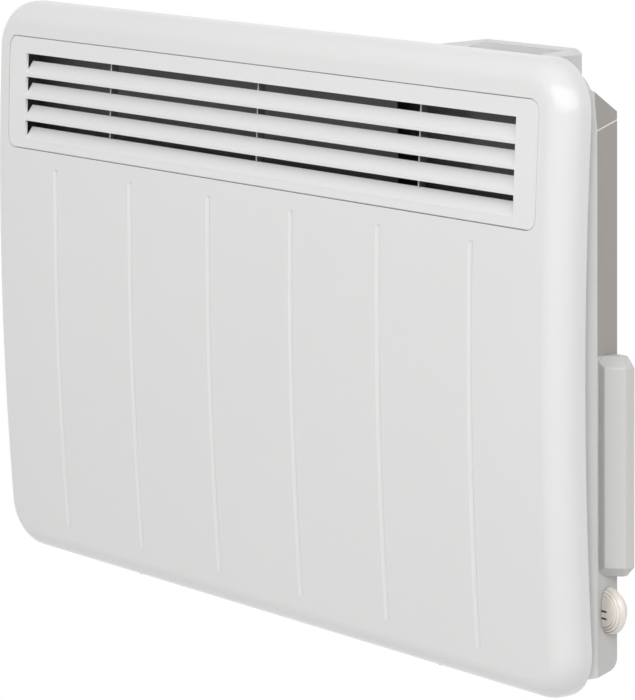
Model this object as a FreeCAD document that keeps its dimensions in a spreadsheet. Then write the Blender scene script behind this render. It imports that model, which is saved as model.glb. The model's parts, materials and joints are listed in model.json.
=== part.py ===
"""Wall-mounted panel convector heater as a parametric assembly, in millimetres.

+Z is up and the front faces -Y. The wall is the plane Y = 0, and the origin is the centre
of the four wall-screw holes, level with the middle of the front panel.
"""
import FreeCAD, Part
import math
import os
import Sketcher
from FreeCAD import Placement, Rotation, Vector

doc = FreeCAD.newDocument("panel_heater")
dims = doc.addObject("Spreadsheet::Sheet", "dims")

SIZES = (
    # front panel
    ("panel_w", 679, "front panel, side to side"),
    ("panel_h", 428, "front panel, bottom to top"),
    ("panel_t", 1.2, "front panel sheet"),
    ("crown_r", 2872, "radius of the panel's crown, about an axis along X"),
    ("edge_r", 18.3, "rolled edge of the front panel"),
    ("skirt", 5.2, "straight skirt behind the rolled edge"),
    ("corner_r", 36.5, "panel corners seen from the front"),
    ("flute_side", 90.6, "outer flutes from the panel's sides"),
    ("flute_gap", 12.4, "flutes' top below the grille opening"),
    ("flute_rest", 26, "flutes' foot above the panel's foot"),
    ("flute_w", 4.8, "flute width at the panel's face"),
    ("flute_foot", 2, "flute width at its bottom"),
    ("flute_d", 1.2, "flute depth"),
    # outlet grille
    ("bezel_side", 24.5, "panel beside the grille opening"),
    ("bezel_drop", 25, "panel above the grille opening"),
    ("bezel_h", 86.3, "grille opening in the panel, height"),
    ("bezel_r", 9, "corners of the grille opening"),
    ("bezel_gap", 0.4, "gap between grille and panel"),
    ("bezel_sink", 0.4, "grille face behind the panel face"),
    ("bezel_t", 1.4, "grille face plate"),
    ("lip_w", 5, "hidden lip of the grille behind the panel"),
    ("lip_t", 1.2, "hidden lip thickness"),
    ("louvre_side", 23.2, "grille frame beside the blades"),
    ("louvre_head", 1, "slot above the top blade's pitch"),
    ("sill_h", 5, "grille frame below the lowest blade"),
    ("blade_pitch", 16.8, "between louvre blades"),
    ("blade_rise", 11.6, "blade's back edge above its nose"),
    ("blade_run", 7, "blade from front to back"),
    ("blade_nose", 2.4, "height of a blade's nose"),
    ("web_t", 1.4, "stiffening webs behind the blades"),
    ("web_d", 5, "webs behind the blades' back edges"),
    ("web_lap", 1, "webs into the blades' back edges"),
    ("web_side", 106.8, "outer webs from the blades' ends"),
    # casing
    ("wall_gap", 26, "between wall and casing"),
    ("casing_d", 25.2, "casing, front to back"),
    ("casing_gap", 1.4, "casing's front behind the panel's rear edge"),
    ("casing_side", 8, "casing's side inside the panel's side"),
    ("casing_foot", 13.5, "casing's floor above the panel's foot"),
    ("floor_rise", 6.8, "rise of the casing's floor to the back"),
    ("casing_t", 1, "casing sheet"),
    ("bevel", 8, "bevel of the casing's front edges"),
    ("foot_r", 9, "casing's lower rear edge"),
    ("flange_w", 14, "flange round the casing's front opening"),
    ("hood_drop", 17, "hood's front edge below the panel's top"),
    ("hood_fall", 18.4, "fall of the hood to the back"),
    ("seam_drop", 33.1, "seam below the hood's front edge"),
    ("seam_rise", 8.7, "rise of the seam to the back"),
    ("seam_gap", 0.3, "opening of that seam"),
    ("vent_w", 22, "air inlet slot, length"),
    ("vent_d", 8, "air inlet slot, width"),
    ("vent_side", 75, "outer air inlets from the casing's sides"),
    ("clip_side", 157.5, "panel brackets from the panel's sides"),
    ("clip_w", 20, "panel bracket width"),
    ("clip_t", 1.2, "panel bracket sheet"),
    ("clip_lap", 12, "lower panel bracket on the casing's flange"),
    ("clip_gap", 1, "upper panel bracket above the duct"),
    ("screw_r", 1.5, "small screw thread"),
    ("screw_fit", 0.15, "hole over screw, radius"),
    ("head_r", 2.8, "small screw head"),
    ("head_t", 2.4, "small screw head height"),
    # control pod on the hood
    ("pod_in", 29, "pod's right side inside the casing's side"),
    ("pod_w", 136.5, "pod, side to side"),
    ("pod_ramp", 38, "pod's sloping left flank"),
    ("pod_d", 21.3, "pod, front to back"),
    ("pod_h", 16.7, "pod's front top edge above the hood"),
    ("pod_rise", 3.6, "rise of the pod's top to the back"),
    ("pod_flank", 5.4, "drop of the pod's left flank"),
    ("pod_bevel", 6.8, "pod's right top bevel"),
    ("pod_rim", 4, "rim left of the pod's recess"),
    ("pod_cheek", 18.4, "rim right of the recess, at the front"),
    ("pod_cheek_back", 11.6, "rim right of the recess, at the back"),
    ("pod_shelf", 6.8, "rim behind the recess"),
    ("pod_sink", 6.4, "recess floor below the pod's front edge"),
    ("pod_edge", 2.5, "rounded rear corner of the pod"),
    ("lid_front", 1.5, "blanking cover, front edge"),
    ("lid_back", 4.6, "blanking cover, rear edge"),
    # side cover
    ("cover_up", 71, "side cover's foot above the casing's floor"),
    ("cover_h", 148, "side cover height"),
    ("cover_d", 16.3, "side cover, front to back"),
    ("cover_step", 6, "side cover's front step"),
    ("cover_out", 11.5, "side cover's sloping face, outwards"),
    ("cover_back", 8.3, "side cover's sloping face, front to back"),
    ("cover_end", 7, "sloping ends of the side cover"),
    ("cover_t", 1.8, "side cover wall"),
    ("hatch_in", 4, "casing opening inside the side cover's edges"),
    ("hatch_margin", 16, "casing opening inside the side cover's ends"),
    # thermostat
    ("dial_in", 7.1, "thermostat axis ahead of the casing's back"),
    ("dial_up", 47, "thermostat axis above the casing's floor"),
    ("stat_w", 22, "thermostat body along its axis"),
    ("stat_front", 9, "thermostat body ahead of its axis"),
    ("stat_rear", 5.4, "thermostat body behind its axis"),
    ("stat_h", 36, "thermostat body height"),
    ("bush_r", 3.2, "thermostat bush"),
    ("bush_l", 3, "bush from the casing's side"),
    ("nut_r", 5.2, "bush nut, corner radius"),
    ("nut_t", 1.8, "bush nut thickness"),
    ("spindle_r", 2.2, "thermostat spindle"),
    ("spindle_fit", 0.05, "running gap round the spindle"),
    ("spindle_in", 14, "spindle inside the body"),
    ("spindle_out", 10, "spindle beyond the casing's side"),
    ("knob_r", 16, "knob's arch"),
    ("knob_w", 7.5, "knob's flank from its axis"),
    ("knob_gap", 0.8, "knob off the casing's side"),
    ("knob_room", 0.5, "knob round the nut"),
    # heating parts
    ("hub_r", 5, "heating element core"),
    ("fin_l", 14, "element fins from the axis"),
    ("fin_t", 2.4, "element fin thickness"),
    ("leaf_l", 30, "length of one fin leaf"),
    ("leaf_gap", 6, "gap between fin leaves"),
    ("element_in", 51, "element's left end from the casing's side"),
    ("element_clear", 57, "element's right end from the bulkhead"),
    ("element_back", 1, "element axis behind the casing's front"),
    ("element_up", 80, "element axis above the casing's floor"),
    ("ceramic_w", 13, "square ceramic end bush"),
    ("ceramic_l", 18, "ceramic end bush length"),
    ("tab_w", 6.3, "element terminal tab, width"),
    ("tab_t", 0.8, "element terminal tab, thickness"),
    ("tab_l", 9, "element terminal tab, length"),
    ("stay_t", 1.2, "element bracket sheet"),
    ("stay_h", 34, "element bracket height"),
    ("stay_front", 12.5, "element bracket ahead of the element's axis"),
    ("stay_foot", 13, "element bracket foot"),
    ("shield_gap", 8, "heat shield off the casing's back"),
    ("shield_t", 0.8, "heat shield sheet"),
    ("shield_in", 13, "heat shield inside the element's ends"),
    ("shield_drop", 32, "heat shield's top below the duct"),
    ("shield_foot", 26, "heat shield's foot above the casing's floor"),
    ("baffle_set", 17, "front baffle behind the crown"),
    ("baffle_in", 32, "front baffle's left side inside the casing's side"),
    ("baffle_drop", 18, "front baffle's top below the duct"),
    ("baffle_foot", 40, "front baffle's foot above the casing's floor"),
    ("duct_t", 0.8, "outlet duct sheet"),
    ("duct_rise", 1, "outlet duct's top above the grille opening"),
    ("duct_hang", 14.5, "outlet duct's foot below the grille opening"),
    ("window_in", 64.4, "window in the duct, left of the bulkhead"),
    ("window_w", 80, "window in the duct, width"),
    ("window_rim", 12, "duct above and below the window"),
    ("control_bay", 134, "bulkhead from the casing's right side"),
    ("bulkhead_drop", 12, "bulkhead's top below the duct"),
    ("bulkhead_foot", 18, "bulkhead's foot above the casing's floor"),
    ("cutout_r", 8, "thermal cut-out disc"),
    ("cutout_l", 9, "thermal cut-out height"),
    ("cutout_drop", 34, "thermal cut-out below the bulkhead's top"),
    ("cutout_ear", 13, "cut-out's ears from its axis"),
    # connections
    ("block_in", 40, "terminal block from the bulkhead"),
    ("block_up", 158, "terminal block above the casing's floor"),
    ("block_w", 42, "terminal block width"),
    ("block_d", 15, "terminal block depth"),
    ("block_h", 22, "terminal block height"),
    ("entry_in", 51, "cable bush from the casing's right side"),
    ("entry_up", 92, "cable bush above the casing's floor"),
    ("entry_r", 4.2, "cable bush bore"),
    ("entry_wall", 2.2, "cable bush wall"),
    ("entry_flange", 3, "cable bush flange beyond its wall"),
    ("entry_t", 2.5, "cable bush flange thickness"),
    ("stud_in", 20, "earth stud from the bulkhead"),
    ("stud_up", 110, "earth stud above the casing's floor"),
    ("stud_r", 2, "earth stud"),
    ("stud_l", 9, "earth stud length"),
    ("wire_r", 1.3, "insulated lead"),
    # wall bracket
    ("arm_x", 140, "bracket arms from the middle"),
    ("arm_w", 34, "bracket arm width"),
    ("arm_h", 280, "bracket arm height"),
    ("strap_h", 34, "bracket cross strap"),
    ("bracket_t", 1.5, "bracket sheet"),
    ("hole_in", 20, "wall screw holes from the arms' ends"),
    ("wall_hole_r", 2.75, "wall screw hole"),
    ("hook_z", 90, "bracket hooks from mid height"),
    ("hook_w", 20, "bracket hook width"),
    ("hook_l", 5, "bracket hook into the casing"),
    ("hook_h", 12, "bracket hook tip"),
    ("slot_fit", 2, "casing slot over hook, each side"),
)

for row, (alias, value, note) in enumerate(SIZES, 1):
    dims.set("A%d" % row, note)
    dims.set("B%d" % row, str(value))
    dims.setAlias("B%d" % row, alias)
doc.recompute()

FLUTES = 6
BLADES = 4
VENTS = 17
POLES = 3
STRIPS = 3

# Bodies whose crowned faces stay parted in strips, inside and outside alike
STRIPPED = ("panel_form", "panel_hollow")

# Places that many pieces share, as expressions on the sheet
PANEL_TOP = "dims.panel_h / 2"
SKIRT_IN = "(dims.panel_h / 2 - dims.panel_t)"
RIM = "(dims.edge_r + dims.skirt)"
RIM_END = "(dims.crown_r - sqrt((dims.crown_r - %s) ^ 2 - (dims.panel_h / 2) ^ 2))" % RIM
FRONT = "-(dims.wall_gap + dims.casing_d + dims.casing_gap + %s)" % RIM_END
CASE_FRONT = "-(dims.wall_gap + dims.casing_d)"
CASE_BACK = "-dims.wall_gap"
CASE_INNER = "-(dims.wall_gap + dims.casing_t)"
CASE_SIDE = "(dims.panel_w / 2 - dims.casing_side)"
CASE_SIDE_IN = "(dims.panel_w / 2 - dims.casing_side - dims.casing_t)"
FLOOR = "(dims.casing_foot - dims.panel_h / 2)"
HOOD_FRONT = "(dims.panel_h / 2 - dims.hood_drop)"
SEAM_FRONT = "(%s - dims.seam_drop)" % HOOD_FRONT
HOLE_R = "(dims.screw_r + dims.screw_fit)"
SCREW_Y = "(%s + %s - dims.skirt / 2)" % (FRONT, RIM_END)
CLIP_X = "(dims.panel_w / 2 - dims.clip_side)"
FLUTE_SPAN = "(dims.panel_w - 2 * dims.flute_side)"
BEZEL_HALF = "(dims.panel_w / 2 - dims.bezel_side)"
BEZEL_TOP = "(dims.panel_h / 2 - dims.bezel_drop)"
BEZEL_LOW = "(dims.panel_h / 2 - dims.bezel_drop - dims.bezel_h)"
LOUVRE_HALF = "(%s - dims.louvre_side)" % BEZEL_HALF
SILL = "(%s + dims.sill_h)" % BEZEL_LOW
LOUVRE_TOP = "(%s + %d * dims.blade_pitch + dims.louvre_head)" % (SILL, BLADES)
DUCT_TOP = "(%s + dims.duct_rise)" % BEZEL_TOP
DUCT_LOW = "(%s - dims.duct_hang)" % BEZEL_LOW
BULK_X = "(%s - dims.control_bay)" % CASE_SIDE
BULK_FRONT = "(%s + dims.baffle_set)" % FRONT
BULK_TOP = "(%s - dims.bulkhead_drop)" % DUCT_LOW
ELEMENT_LEFT = "(dims.element_in - %s)" % CASE_SIDE
ELEMENT_RIGHT = "(%s - dims.element_clear)" % BULK_X
ELEMENT_L = "(%s - %s)" % (ELEMENT_RIGHT, ELEMENT_LEFT)
ELEMENT_Y = "(%s + dims.element_back)" % CASE_FRONT
ELEMENT_Z = "(%s + dims.element_up)" % FLOOR
LEAVES = "floor(%s / (dims.leaf_l + dims.leaf_gap))" % ELEMENT_L
COVER_LOW = "(%s + dims.cover_up)" % FLOOR
COVER_TOP = "(%s + dims.cover_h)" % COVER_LOW
COVER_FRONT = "(%s - dims.cover_d)" % CASE_BACK
DIAL_Y = "(%s - dims.dial_in)" % CASE_BACK
DIAL_Z = "(%s + dims.dial_up)" % FLOOR
ENTRY_X = "(%s - dims.entry_in)" % CASE_SIDE
ENTRY_Z = "(%s + dims.entry_up)" % FLOOR
POD_RIGHT = "(%s - dims.pod_in)" % CASE_SIDE
POD_LEFT = "(%s - dims.pod_w)" % POD_RIGHT
POD_RIDGE = "(%s + dims.pod_ramp)" % POD_LEFT
POD_FRONT = "(%s + dims.pod_h)" % HOOD_FRONT
POD_BACK = "(%s + dims.pod_rise)" % POD_FRONT
POD_FLOOR = "(%s - dims.pod_sink)" % POD_FRONT

AXES = {"X": Rotation(Vector(0, 1, 0), 90), "Y": Rotation(Vector(1, 0, 0), -90), "Z": Rotation()}
ALONG_X, ALONG_Y, ALONG_Z = Vector(1, 0, 0), Vector(0, 1, 0), Vector(0, 0, 1)

# Knob section from its front flank over the arch to its rear: shares of knob_w and knob_r
KNOB_SECTION = (
    (-1.0, 0.0), (-1.0, 0.34), (-0.7, 0.82), (0.0, 1.0), (0.92, 0.6), (0.92, 0.0))


def num(expr):
    """The present value of an expression on the sheet."""
    result = dims.evalExpression(expr)
    return float(getattr(result, "Value", result))


def bind(obj, **sizes):
    for name, expr in sizes.items():
        obj.setExpression(name, expr)


def place(obj, at):
    for axis, expr in zip("xyz", at):
        obj.setExpression("Placement.Base." + axis, expr)


def block(name, x, y, z):
    """A box between two expressions on each axis."""
    obj = doc.addObject("Part::Box", name)
    for prop, (low, high) in zip(("Length", "Width", "Height"), (x, y, z)):
        obj.setExpression(prop, "(%s) - (%s)" % (high, low))
    place(obj, [pair[0] for pair in (x, y, z)])
    return obj


def rod(name, axis, at, radius, length):
    """A cylinder that starts at a point and runs along +X, +Y or +Z."""
    obj = doc.addObject("Part::Cylinder", name)
    obj.Placement = Placement(Vector(), AXES[axis])
    bind(obj, Radius=radius, Height=length)
    place(obj, at)
    return obj


def fuse(name, *shapes):
    obj = doc.addObject("Part::MultiFuse", name)
    obj.Shapes = list(shapes)
    return obj


def cut(name, base, *tools):
    obj = doc.addObject("Part::Cut", name)
    obj.Base = base
    obj.Tool = tools[0] if len(tools) == 1 else fuse(name + "_tools", *tools)
    return obj


def group(name, *solids):
    """Like pieces that share one node, each still a solid of its own."""
    obj = doc.addObject("Part::Compound", name)
    obj.Links = list(solids)
    return obj


def hex_nut(name, axis, at, corner_r, bore_r, height):
    blank = doc.addObject("Part::Prism", name + "_blank")
    blank.Polygon = 6
    blank.Placement = Placement(Vector(), AXES[axis])
    bind(blank, Circumradius=corner_r, Height=height)
    place(blank, at)
    return cut(name, blank, rod(name + "_bore", axis, at, bore_r, height))


def new_body(name):
    return doc.addObject("PartDesign::Body", name)


def origin_plane(body, role):
    return next(item for item in body.Origin.OriginFeatures if item.Role == role)


def new_sketch(body, role, offset=None):
    sketch = body.newObject("Sketcher::SketchObject", body.Name + "_sketch")
    sketch.AttachmentSupport = (origin_plane(body, role), [""])
    sketch.MapMode = "FlatFace"
    if offset:
        sketch.setExpression("AttachmentOffset.Base.z", offset)
    return sketch


def dimension(sketch, kind, expr, *where):
    index = sketch.addConstraint(Sketcher.Constraint(kind, *where, num(expr)))
    sketch.setExpression("Constraints[%d]" % index, expr)


def add_loop(sketch, corners):
    """A closed polygon whose corners are pairs of expressions."""
    points = [Vector(num(x), num(y), 0) for x, y in corners]
    lines = [sketch.addGeometry(Part.LineSegment(point, points[(i + 1) % len(points)]))
             for i, point in enumerate(points)]
    for i, line in enumerate(lines):
        sketch.addConstraint(Sketcher.Constraint("Coincident", line, 2, lines[(i + 1) % len(lines)], 1))
    for line, (x, y) in zip(lines, corners):
        dimension(sketch, "DistanceX", x, -1, 1, line, 1)
        dimension(sketch, "DistanceY", y, -1, 1, line, 1)


def rectangle(x, y):
    return [(x[0], y[0]), (x[1], y[0]), (x[1], y[1]), (x[0], y[1])]


def mirrored(half):
    return "-" + half, half


def outline(body, role, *loops, offset=None):
    sketch = new_sketch(body, role, offset)
    for loop in loops:
        add_loop(sketch, loop)
    return sketch


def disc(body, role, x, y, radius, offset=None):
    sketch = new_sketch(body, role, offset)
    ring = sketch.addGeometry(Part.Circle(Vector(num(x), num(y), 0), Vector(0, 0, 1), num(radius)))
    dimension(sketch, "DistanceX", x, -1, 1, ring, 3)
    dimension(sketch, "DistanceY", y, -1, 1, ring, 3)
    dimension(sketch, "Radius", radius, ring)
    return sketch


def crown_band(body, near, far, low, high, offset=None, strips=()):
    """Section of a sheet that follows the crown, between two depths and two heights.

    Heights in strips part its long arcs there.
    """
    sketch = new_sketch(body, "YZ_Plane", offset)
    centre = Vector(num(FRONT) + num("dims.crown_r"), 0, 0)
    heights = [high, *strips, low]
    sides = []
    for depth in (near, far):
        reach = "dims.crown_r - (%s)" % depth
        circle = Part.Circle(centre, Vector(0, 0, 1), num(reach))
        angles = [math.pi - math.asin(num(z) / num(reach)) for z in heights]
        arcs = [sketch.addGeometry(Part.ArcOfCircle(circle, *pair)) for pair in zip(angles, angles[1:])]
        for arc, other in zip(arcs, arcs[1:]):
            sketch.addConstraint(Sketcher.Constraint("Coincident", arc, 2, other, 1))
            sketch.addConstraint(Sketcher.Constraint("Coincident", arc, 3, other, 3))
        sides.append(arcs)
    first, second = sides
    for end, index in ((1, 0), (2, -1)):
        pair = (first[index], second[index])
        line = sketch.addGeometry(Part.LineSegment(*[sketch.getPoint(arc, end) for arc in pair]))
        for side, arc in enumerate(pair, 1):
            sketch.addConstraint(Sketcher.Constraint("Coincident", line, side, arc, end))
    sketch.addConstraint(Sketcher.Constraint("PointOnObject", first[0], 3, -1))
    sketch.addConstraint(Sketcher.Constraint("Coincident", first[0], 3, second[0], 3))
    dimension(sketch, "DistanceX", "%s + dims.crown_r" % FRONT, -1, 1, first[0], 3)
    for arcs, depth in zip(sides, (near, far)):
        dimension(sketch, "Radius", "dims.crown_r - (%s)" % depth, arcs[0])
        dimension(sketch, "DistanceY", high, -1, 1, arcs[0], 1)
        for arc, height in zip(arcs, heights[1:]):
            dimension(sketch, "DistanceY", height, -1, 1, arc, 2)
    return sketch


def feature(body, kind, profile, **sizes):
    obj = body.newObject("PartDesign::" + kind, "%s_%s" % (body.Name, kind.lower()))
    obj.Profile = profile
    obj.Refine = body.Name not in STRIPPED
    bind(obj, **sizes)
    return obj


def pad(body, profile, length, midplane=False):
    obj = feature(body, "Pad", profile, Length=length)
    obj.Midplane = midplane
    doc.recompute()
    return obj


def pocket(body, profile, length):
    """A cut that reaches half its length to each side of the sketch."""
    obj = feature(body, "Pocket", profile, Length=length)
    obj.Midplane = True
    doc.recompute()
    return obj


def turned(body, profile, role, angle=360):
    """A revolution about one of the body's axes, to both sides of the sketch."""
    obj = feature(body, "Revolution", profile)
    obj.ReferenceAxis = (origin_plane(body, role), [""])
    obj.Angle = angle
    obj.Midplane = True
    doc.recompute()
    return obj


def dress(body, kind, base, names, prop, expr):
    """A fillet, chamfer or shell on named edges or faces of the last feature."""
    obj = body.newObject("PartDesign::" + kind, "%s_%s" % (body.Name, kind.lower()))
    obj.Base = (base, names)
    obj.Refine = body.Name not in STRIPPED
    obj.setExpression(prop, expr)
    if kind == "Thickness":
        obj.Reversed = True
    doc.recompute()
    return obj


def edges_along(feature_obj, axis, test=None):
    """Names of the straight edges along one axis, at the places that test accepts."""
    names = []
    for index, edge in enumerate(feature_obj.Shape.Edges, 1):
        if edge.Curve.TypeId != "Part::GeomLine":
            continue
        if abs(edge.tangentAt(edge.FirstParameter).dot(axis)) < 0.99:
            continue
        if test is None or test(edge.CenterOfMass):
            names.append("Edge%d" % index)
    return names


def edges_round(feature_obj, faces):
    """Names of the edges round a group of neighbouring faces."""
    rim = [edge for face in faces for edge in face.Edges]
    return ["Edge%d" % index for index, edge in enumerate(feature_obj.Shape.Edges, 1)
            if sum(edge.isSame(other) for other in rim) == 1]


def face_at(feature_obj, key):
    """Name of the face that comes first by a key on faces."""
    faces = feature_obj.Shape.Faces
    return "Face%d" % (1 + min(range(len(faces)), key=lambda index: key(faces[index])))


def pattern(body, originals, length, count):
    """Copies along X, over a length from the first to the last."""
    obj = body.newObject("PartDesign::LinearPattern", body.Name + "_row")
    obj.Originals = originals
    obj.Refine = body.Name not in STRIPPED
    obj.Direction = (origin_plane(body, "X_Axis"), [""])
    bind(obj, Length=length, Occurrences=count)
    body.Tip = obj
    doc.recompute()
    return obj


def flute_section(body, near, far, spread):
    """Section of the leftmost flute, wider at its mouth, with the crown's axis beside it."""
    left = "-%s / 2" % FLUTE_SPAN
    mouth, foot = "(dims.flute_w / 2 + %s)" % spread, "(dims.flute_foot / 2 + %s)" % spread
    outer, inner = "%s + %s" % (FRONT, near), "%s + %s" % (FRONT, far)
    sketch = outline(body, "XY_Plane", [
        ("%s - %s" % (left, mouth), outer), ("%s + %s" % (left, mouth), outer),
        ("%s + %s" % (left, foot), inner), ("%s - %s" % (left, foot), inner)])
    axis = Vector(0, num(FRONT) + num("dims.crown_r"), 0)
    line = sketch.addGeometry(Part.LineSegment(axis, axis + ALONG_X * num("dims.panel_w")), True)
    sketch.addConstraint(Sketcher.Constraint("Horizontal", line))
    sketch.addConstraint(Sketcher.Constraint("PointOnObject", line, 1, -2))
    dimension(sketch, "DistanceY", "%s + dims.crown_r" % FRONT, -1, 1, line, 1)
    dimension(sketch, "DistanceX", "dims.panel_w", line, 1, line, 2)
    return sketch


def flutes(body, kind, near, far, spread):
    """The row of pressed flutes, swept about the crown's axis."""
    sweep = feature(body, kind, flute_section(body, near, far, spread))
    sweep.ReferenceAxis = (sweep.Profile[0], ["Axis0"])
    sweep.Type = "TwoAngles"
    up = "%s - dims.flute_gap + %s" % (BEZEL_LOW, spread)
    down = "%s - dims.flute_rest + %s" % (PANEL_TOP, spread)
    bind(sweep, Angle="asin((%s) / dims.crown_r)" % up, Angle2="asin((%s) / dims.crown_r)" % down)
    sweep.Reversed = True
    doc.recompute()
    return pattern(body, [sweep], FLUTE_SPAN, str(FLUTES))


def panel_form(name, inset, reach):
    """The panel's crowned form with its rolled edge, drawn in from its outside by an inset."""
    body = new_body(name)
    half = "(%s - %s)" % (PANEL_TOP, inset)
    seams = ["%s * %d / %d" % (PANEL_TOP, step, STRIPS) for step in range(STRIPS - 2, -STRIPS, -2)]
    section = crown_band(body, inset, "%s + %s" % (RIM, reach), "-" + half, half, strips=seams)
    blank = pad(body, section, "dims.panel_w - 2 * %s" % inset, midplane=True)
    corners = edges_along(blank, ALONG_Y)
    blank = dress(body, "Fillet", blank, corners, "Radius", "dims.corner_r - " + inset)
    middle = num(FRONT) + num(RIM) / 2
    front = [face for face in blank.Shape.Faces
             if face.CenterOfMass.y < middle and abs(face.normalAt(0, 0).y) > 0.9]
    dress(body, "Fillet", blank, edges_round(blank, front), "Radius", "dims.edge_r - " + inset)
    return body


def make_front_panel():
    """Crowned pressed sheet with a rolled edge, six flutes and the grille opening."""
    hollow = panel_form("panel_hollow", "dims.panel_t", "dims.skirt")
    flutes(hollow, "Groove", "dims.panel_t / 2", "dims.panel_t + dims.flute_d", "dims.panel_t")
    body = panel_form("panel_form", "0 * dims.panel_t", "0 * dims.skirt")
    flutes(body, "Groove", "0", "dims.flute_d", "0")
    opening = outline(body, "XZ_Plane", rectangle(mirrored(BEZEL_HALF), (BEZEL_LOW, BEZEL_TOP)),
                      offset="-(%s)" % FRONT)
    opened = pocket(body, opening, "dims.edge_r * 2")
    half, low, top = num(BEZEL_HALF), num(BEZEL_LOW), num(BEZEL_TOP)
    corners = edges_along(opened, ALONG_Y,
                          lambda at: abs(at.x) < half + 0.1 and low - 1 < at.z < top + 1)
    dress(body, "Fillet", opened, corners, "Radius", "dims.bezel_r")
    for side in (-1, 1):
        hole = disc(body, "XY_Plane", "%d * %s" % (side, CLIP_X), SCREW_Y, HOLE_R, offset="-" + PANEL_TOP)
        pocket(body, hole, "dims.panel_t * 4")
    panel = cut("front_panel", body, hollow)
    panel.Refine = False


def make_outlet_grille():
    """One moulding: face plate, hidden lip, sloping louvre blades and stiffening webs."""
    body = new_body("outlet_grille")
    back = "(dims.bezel_sink + dims.bezel_t)"
    low, top = BEZEL_LOW + " + dims.bezel_gap", BEZEL_TOP + " - dims.bezel_gap"
    plate = pad(body, crown_band(body, "dims.bezel_sink", back, low, top),
                "2 * (%s - dims.bezel_gap)" % BEZEL_HALF, midplane=True)
    dress(body, "Fillet", plate, edges_along(plate, ALONG_Y), "Radius", "dims.bezel_r - dims.bezel_gap")
    seat = "dims.panel_t + 0.25 * dims.bezel_gap"
    lip = crown_band(body, seat, seat + " + dims.lip_t", BEZEL_LOW + " - dims.lip_w",
                     BEZEL_TOP + " + dims.lip_w")
    lipped = pad(body, lip, "2 * (%s + dims.lip_w)" % BEZEL_HALF, midplane=True)
    rim_x = num(BEZEL_HALF)
    outer_corners = edges_along(lipped, ALONG_Y, lambda at: abs(at.x) > rim_x)
    dress(body, "Fillet", lipped, outer_corners, "Radius", "dims.bezel_r + dims.lip_w")
    window = rectangle(mirrored(LOUVRE_HALF), (SILL, LOUVRE_TOP))
    pocket(body, outline(body, "XZ_Plane", window, offset="-(%s)" % FRONT), "dims.edge_r * 2")
    blades = []
    for index in range(BLADES):
        nose = "(%s + %d * dims.blade_pitch)" % (SILL, index)
        front = "(%s + dims.bezel_sink + %s * %s / (2 * dims.crown_r))" % (FRONT, nose, nose)
        rear = front + " + dims.blade_run"
        crest = nose + " + dims.blade_rise"
        blades.append([(front, nose), (front, nose + " + dims.blade_nose"), (rear, crest),
                       (rear, crest + " - dims.blade_nose")])
    pad(body, outline(body, "YZ_Plane", *blades), "2 * " + LOUVRE_HALF, midplane=True)
    near = "dims.bezel_sink + dims.blade_run - dims.web_lap"
    far = "dims.bezel_sink + dims.blade_run + dims.web_d"
    outer = "(%s - dims.web_side)" % LOUVRE_HALF
    for index in (-1, 0, 1):
        web = crown_band(body, near, far, SILL, LOUVRE_TOP, offset="%d * %s" % (index, outer))
        pad(body, web, "dims.web_t", midplane=True)


def casing_block(name, inset, front):
    """The casing's form, drawn in from its outside by an inset: sloping top and floor, bevelled sides."""
    body = new_body(name)
    back = "%s - %s" % (CASE_BACK, inset)

    def height(start, rate, sign, y):
        shift = "%s * sqrt(1 + (%s) ^ 2)" % (inset, rate)
        return "%s + %d * %s + ((%s) - (%s)) * (%s)" % (start, sign, shift, y, CASE_FRONT, rate)

    sole, slope = "dims.floor_rise / dims.casing_d", "-dims.hood_fall / dims.casing_d"
    side = outline(body, "YZ_Plane", [
        (front, height(FLOOR, sole, 1, front)), (back, height(FLOOR, sole, 1, back)),
        (back, height(HOOD_FRONT, slope, -1, back)), (front, height(HOOD_FRONT, slope, -1, front))])
    box = pad(body, side, "2 * (%s - %s)" % (CASE_SIDE, inset), midplane=True)
    back_y, low_z, front_y = num(back), num(height(FLOOR, sole, 1, back)), num(front)
    heel = edges_along(box, ALONG_X, lambda at: abs(at.y - back_y) < 0.1 and abs(at.z - low_z) < 0.1)
    box = dress(body, "Fillet", box, heel, "Radius", "dims.foot_r - " + inset)
    uprights = edges_along(box, ALONG_Z, lambda at: abs(at.y - front_y) < 0.1)
    dress(body, "Chamfer", box, uprights, "Size", "dims.bevel - %s * (2 - sqrt(2))" % inset)
    return body


def above_seam(name, gap):
    """The space above the seam, which rises to the back."""
    tool = new_body(name)
    before, behind = CASE_FRONT + " - dims.casing_d", CASE_BACK + " + dims.casing_d"
    edge = outline(tool, "YZ_Plane", [
        (before, "%s - dims.seam_rise + %s" % (SEAM_FRONT, gap)),
        (behind, "%s + 2 * dims.seam_rise + %s" % (SEAM_FRONT, gap)),
        (behind, "dims.panel_h"), (before, "dims.panel_h")])
    pad(tool, edge, "dims.panel_w * 2", midplane=True)
    return tool


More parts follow.
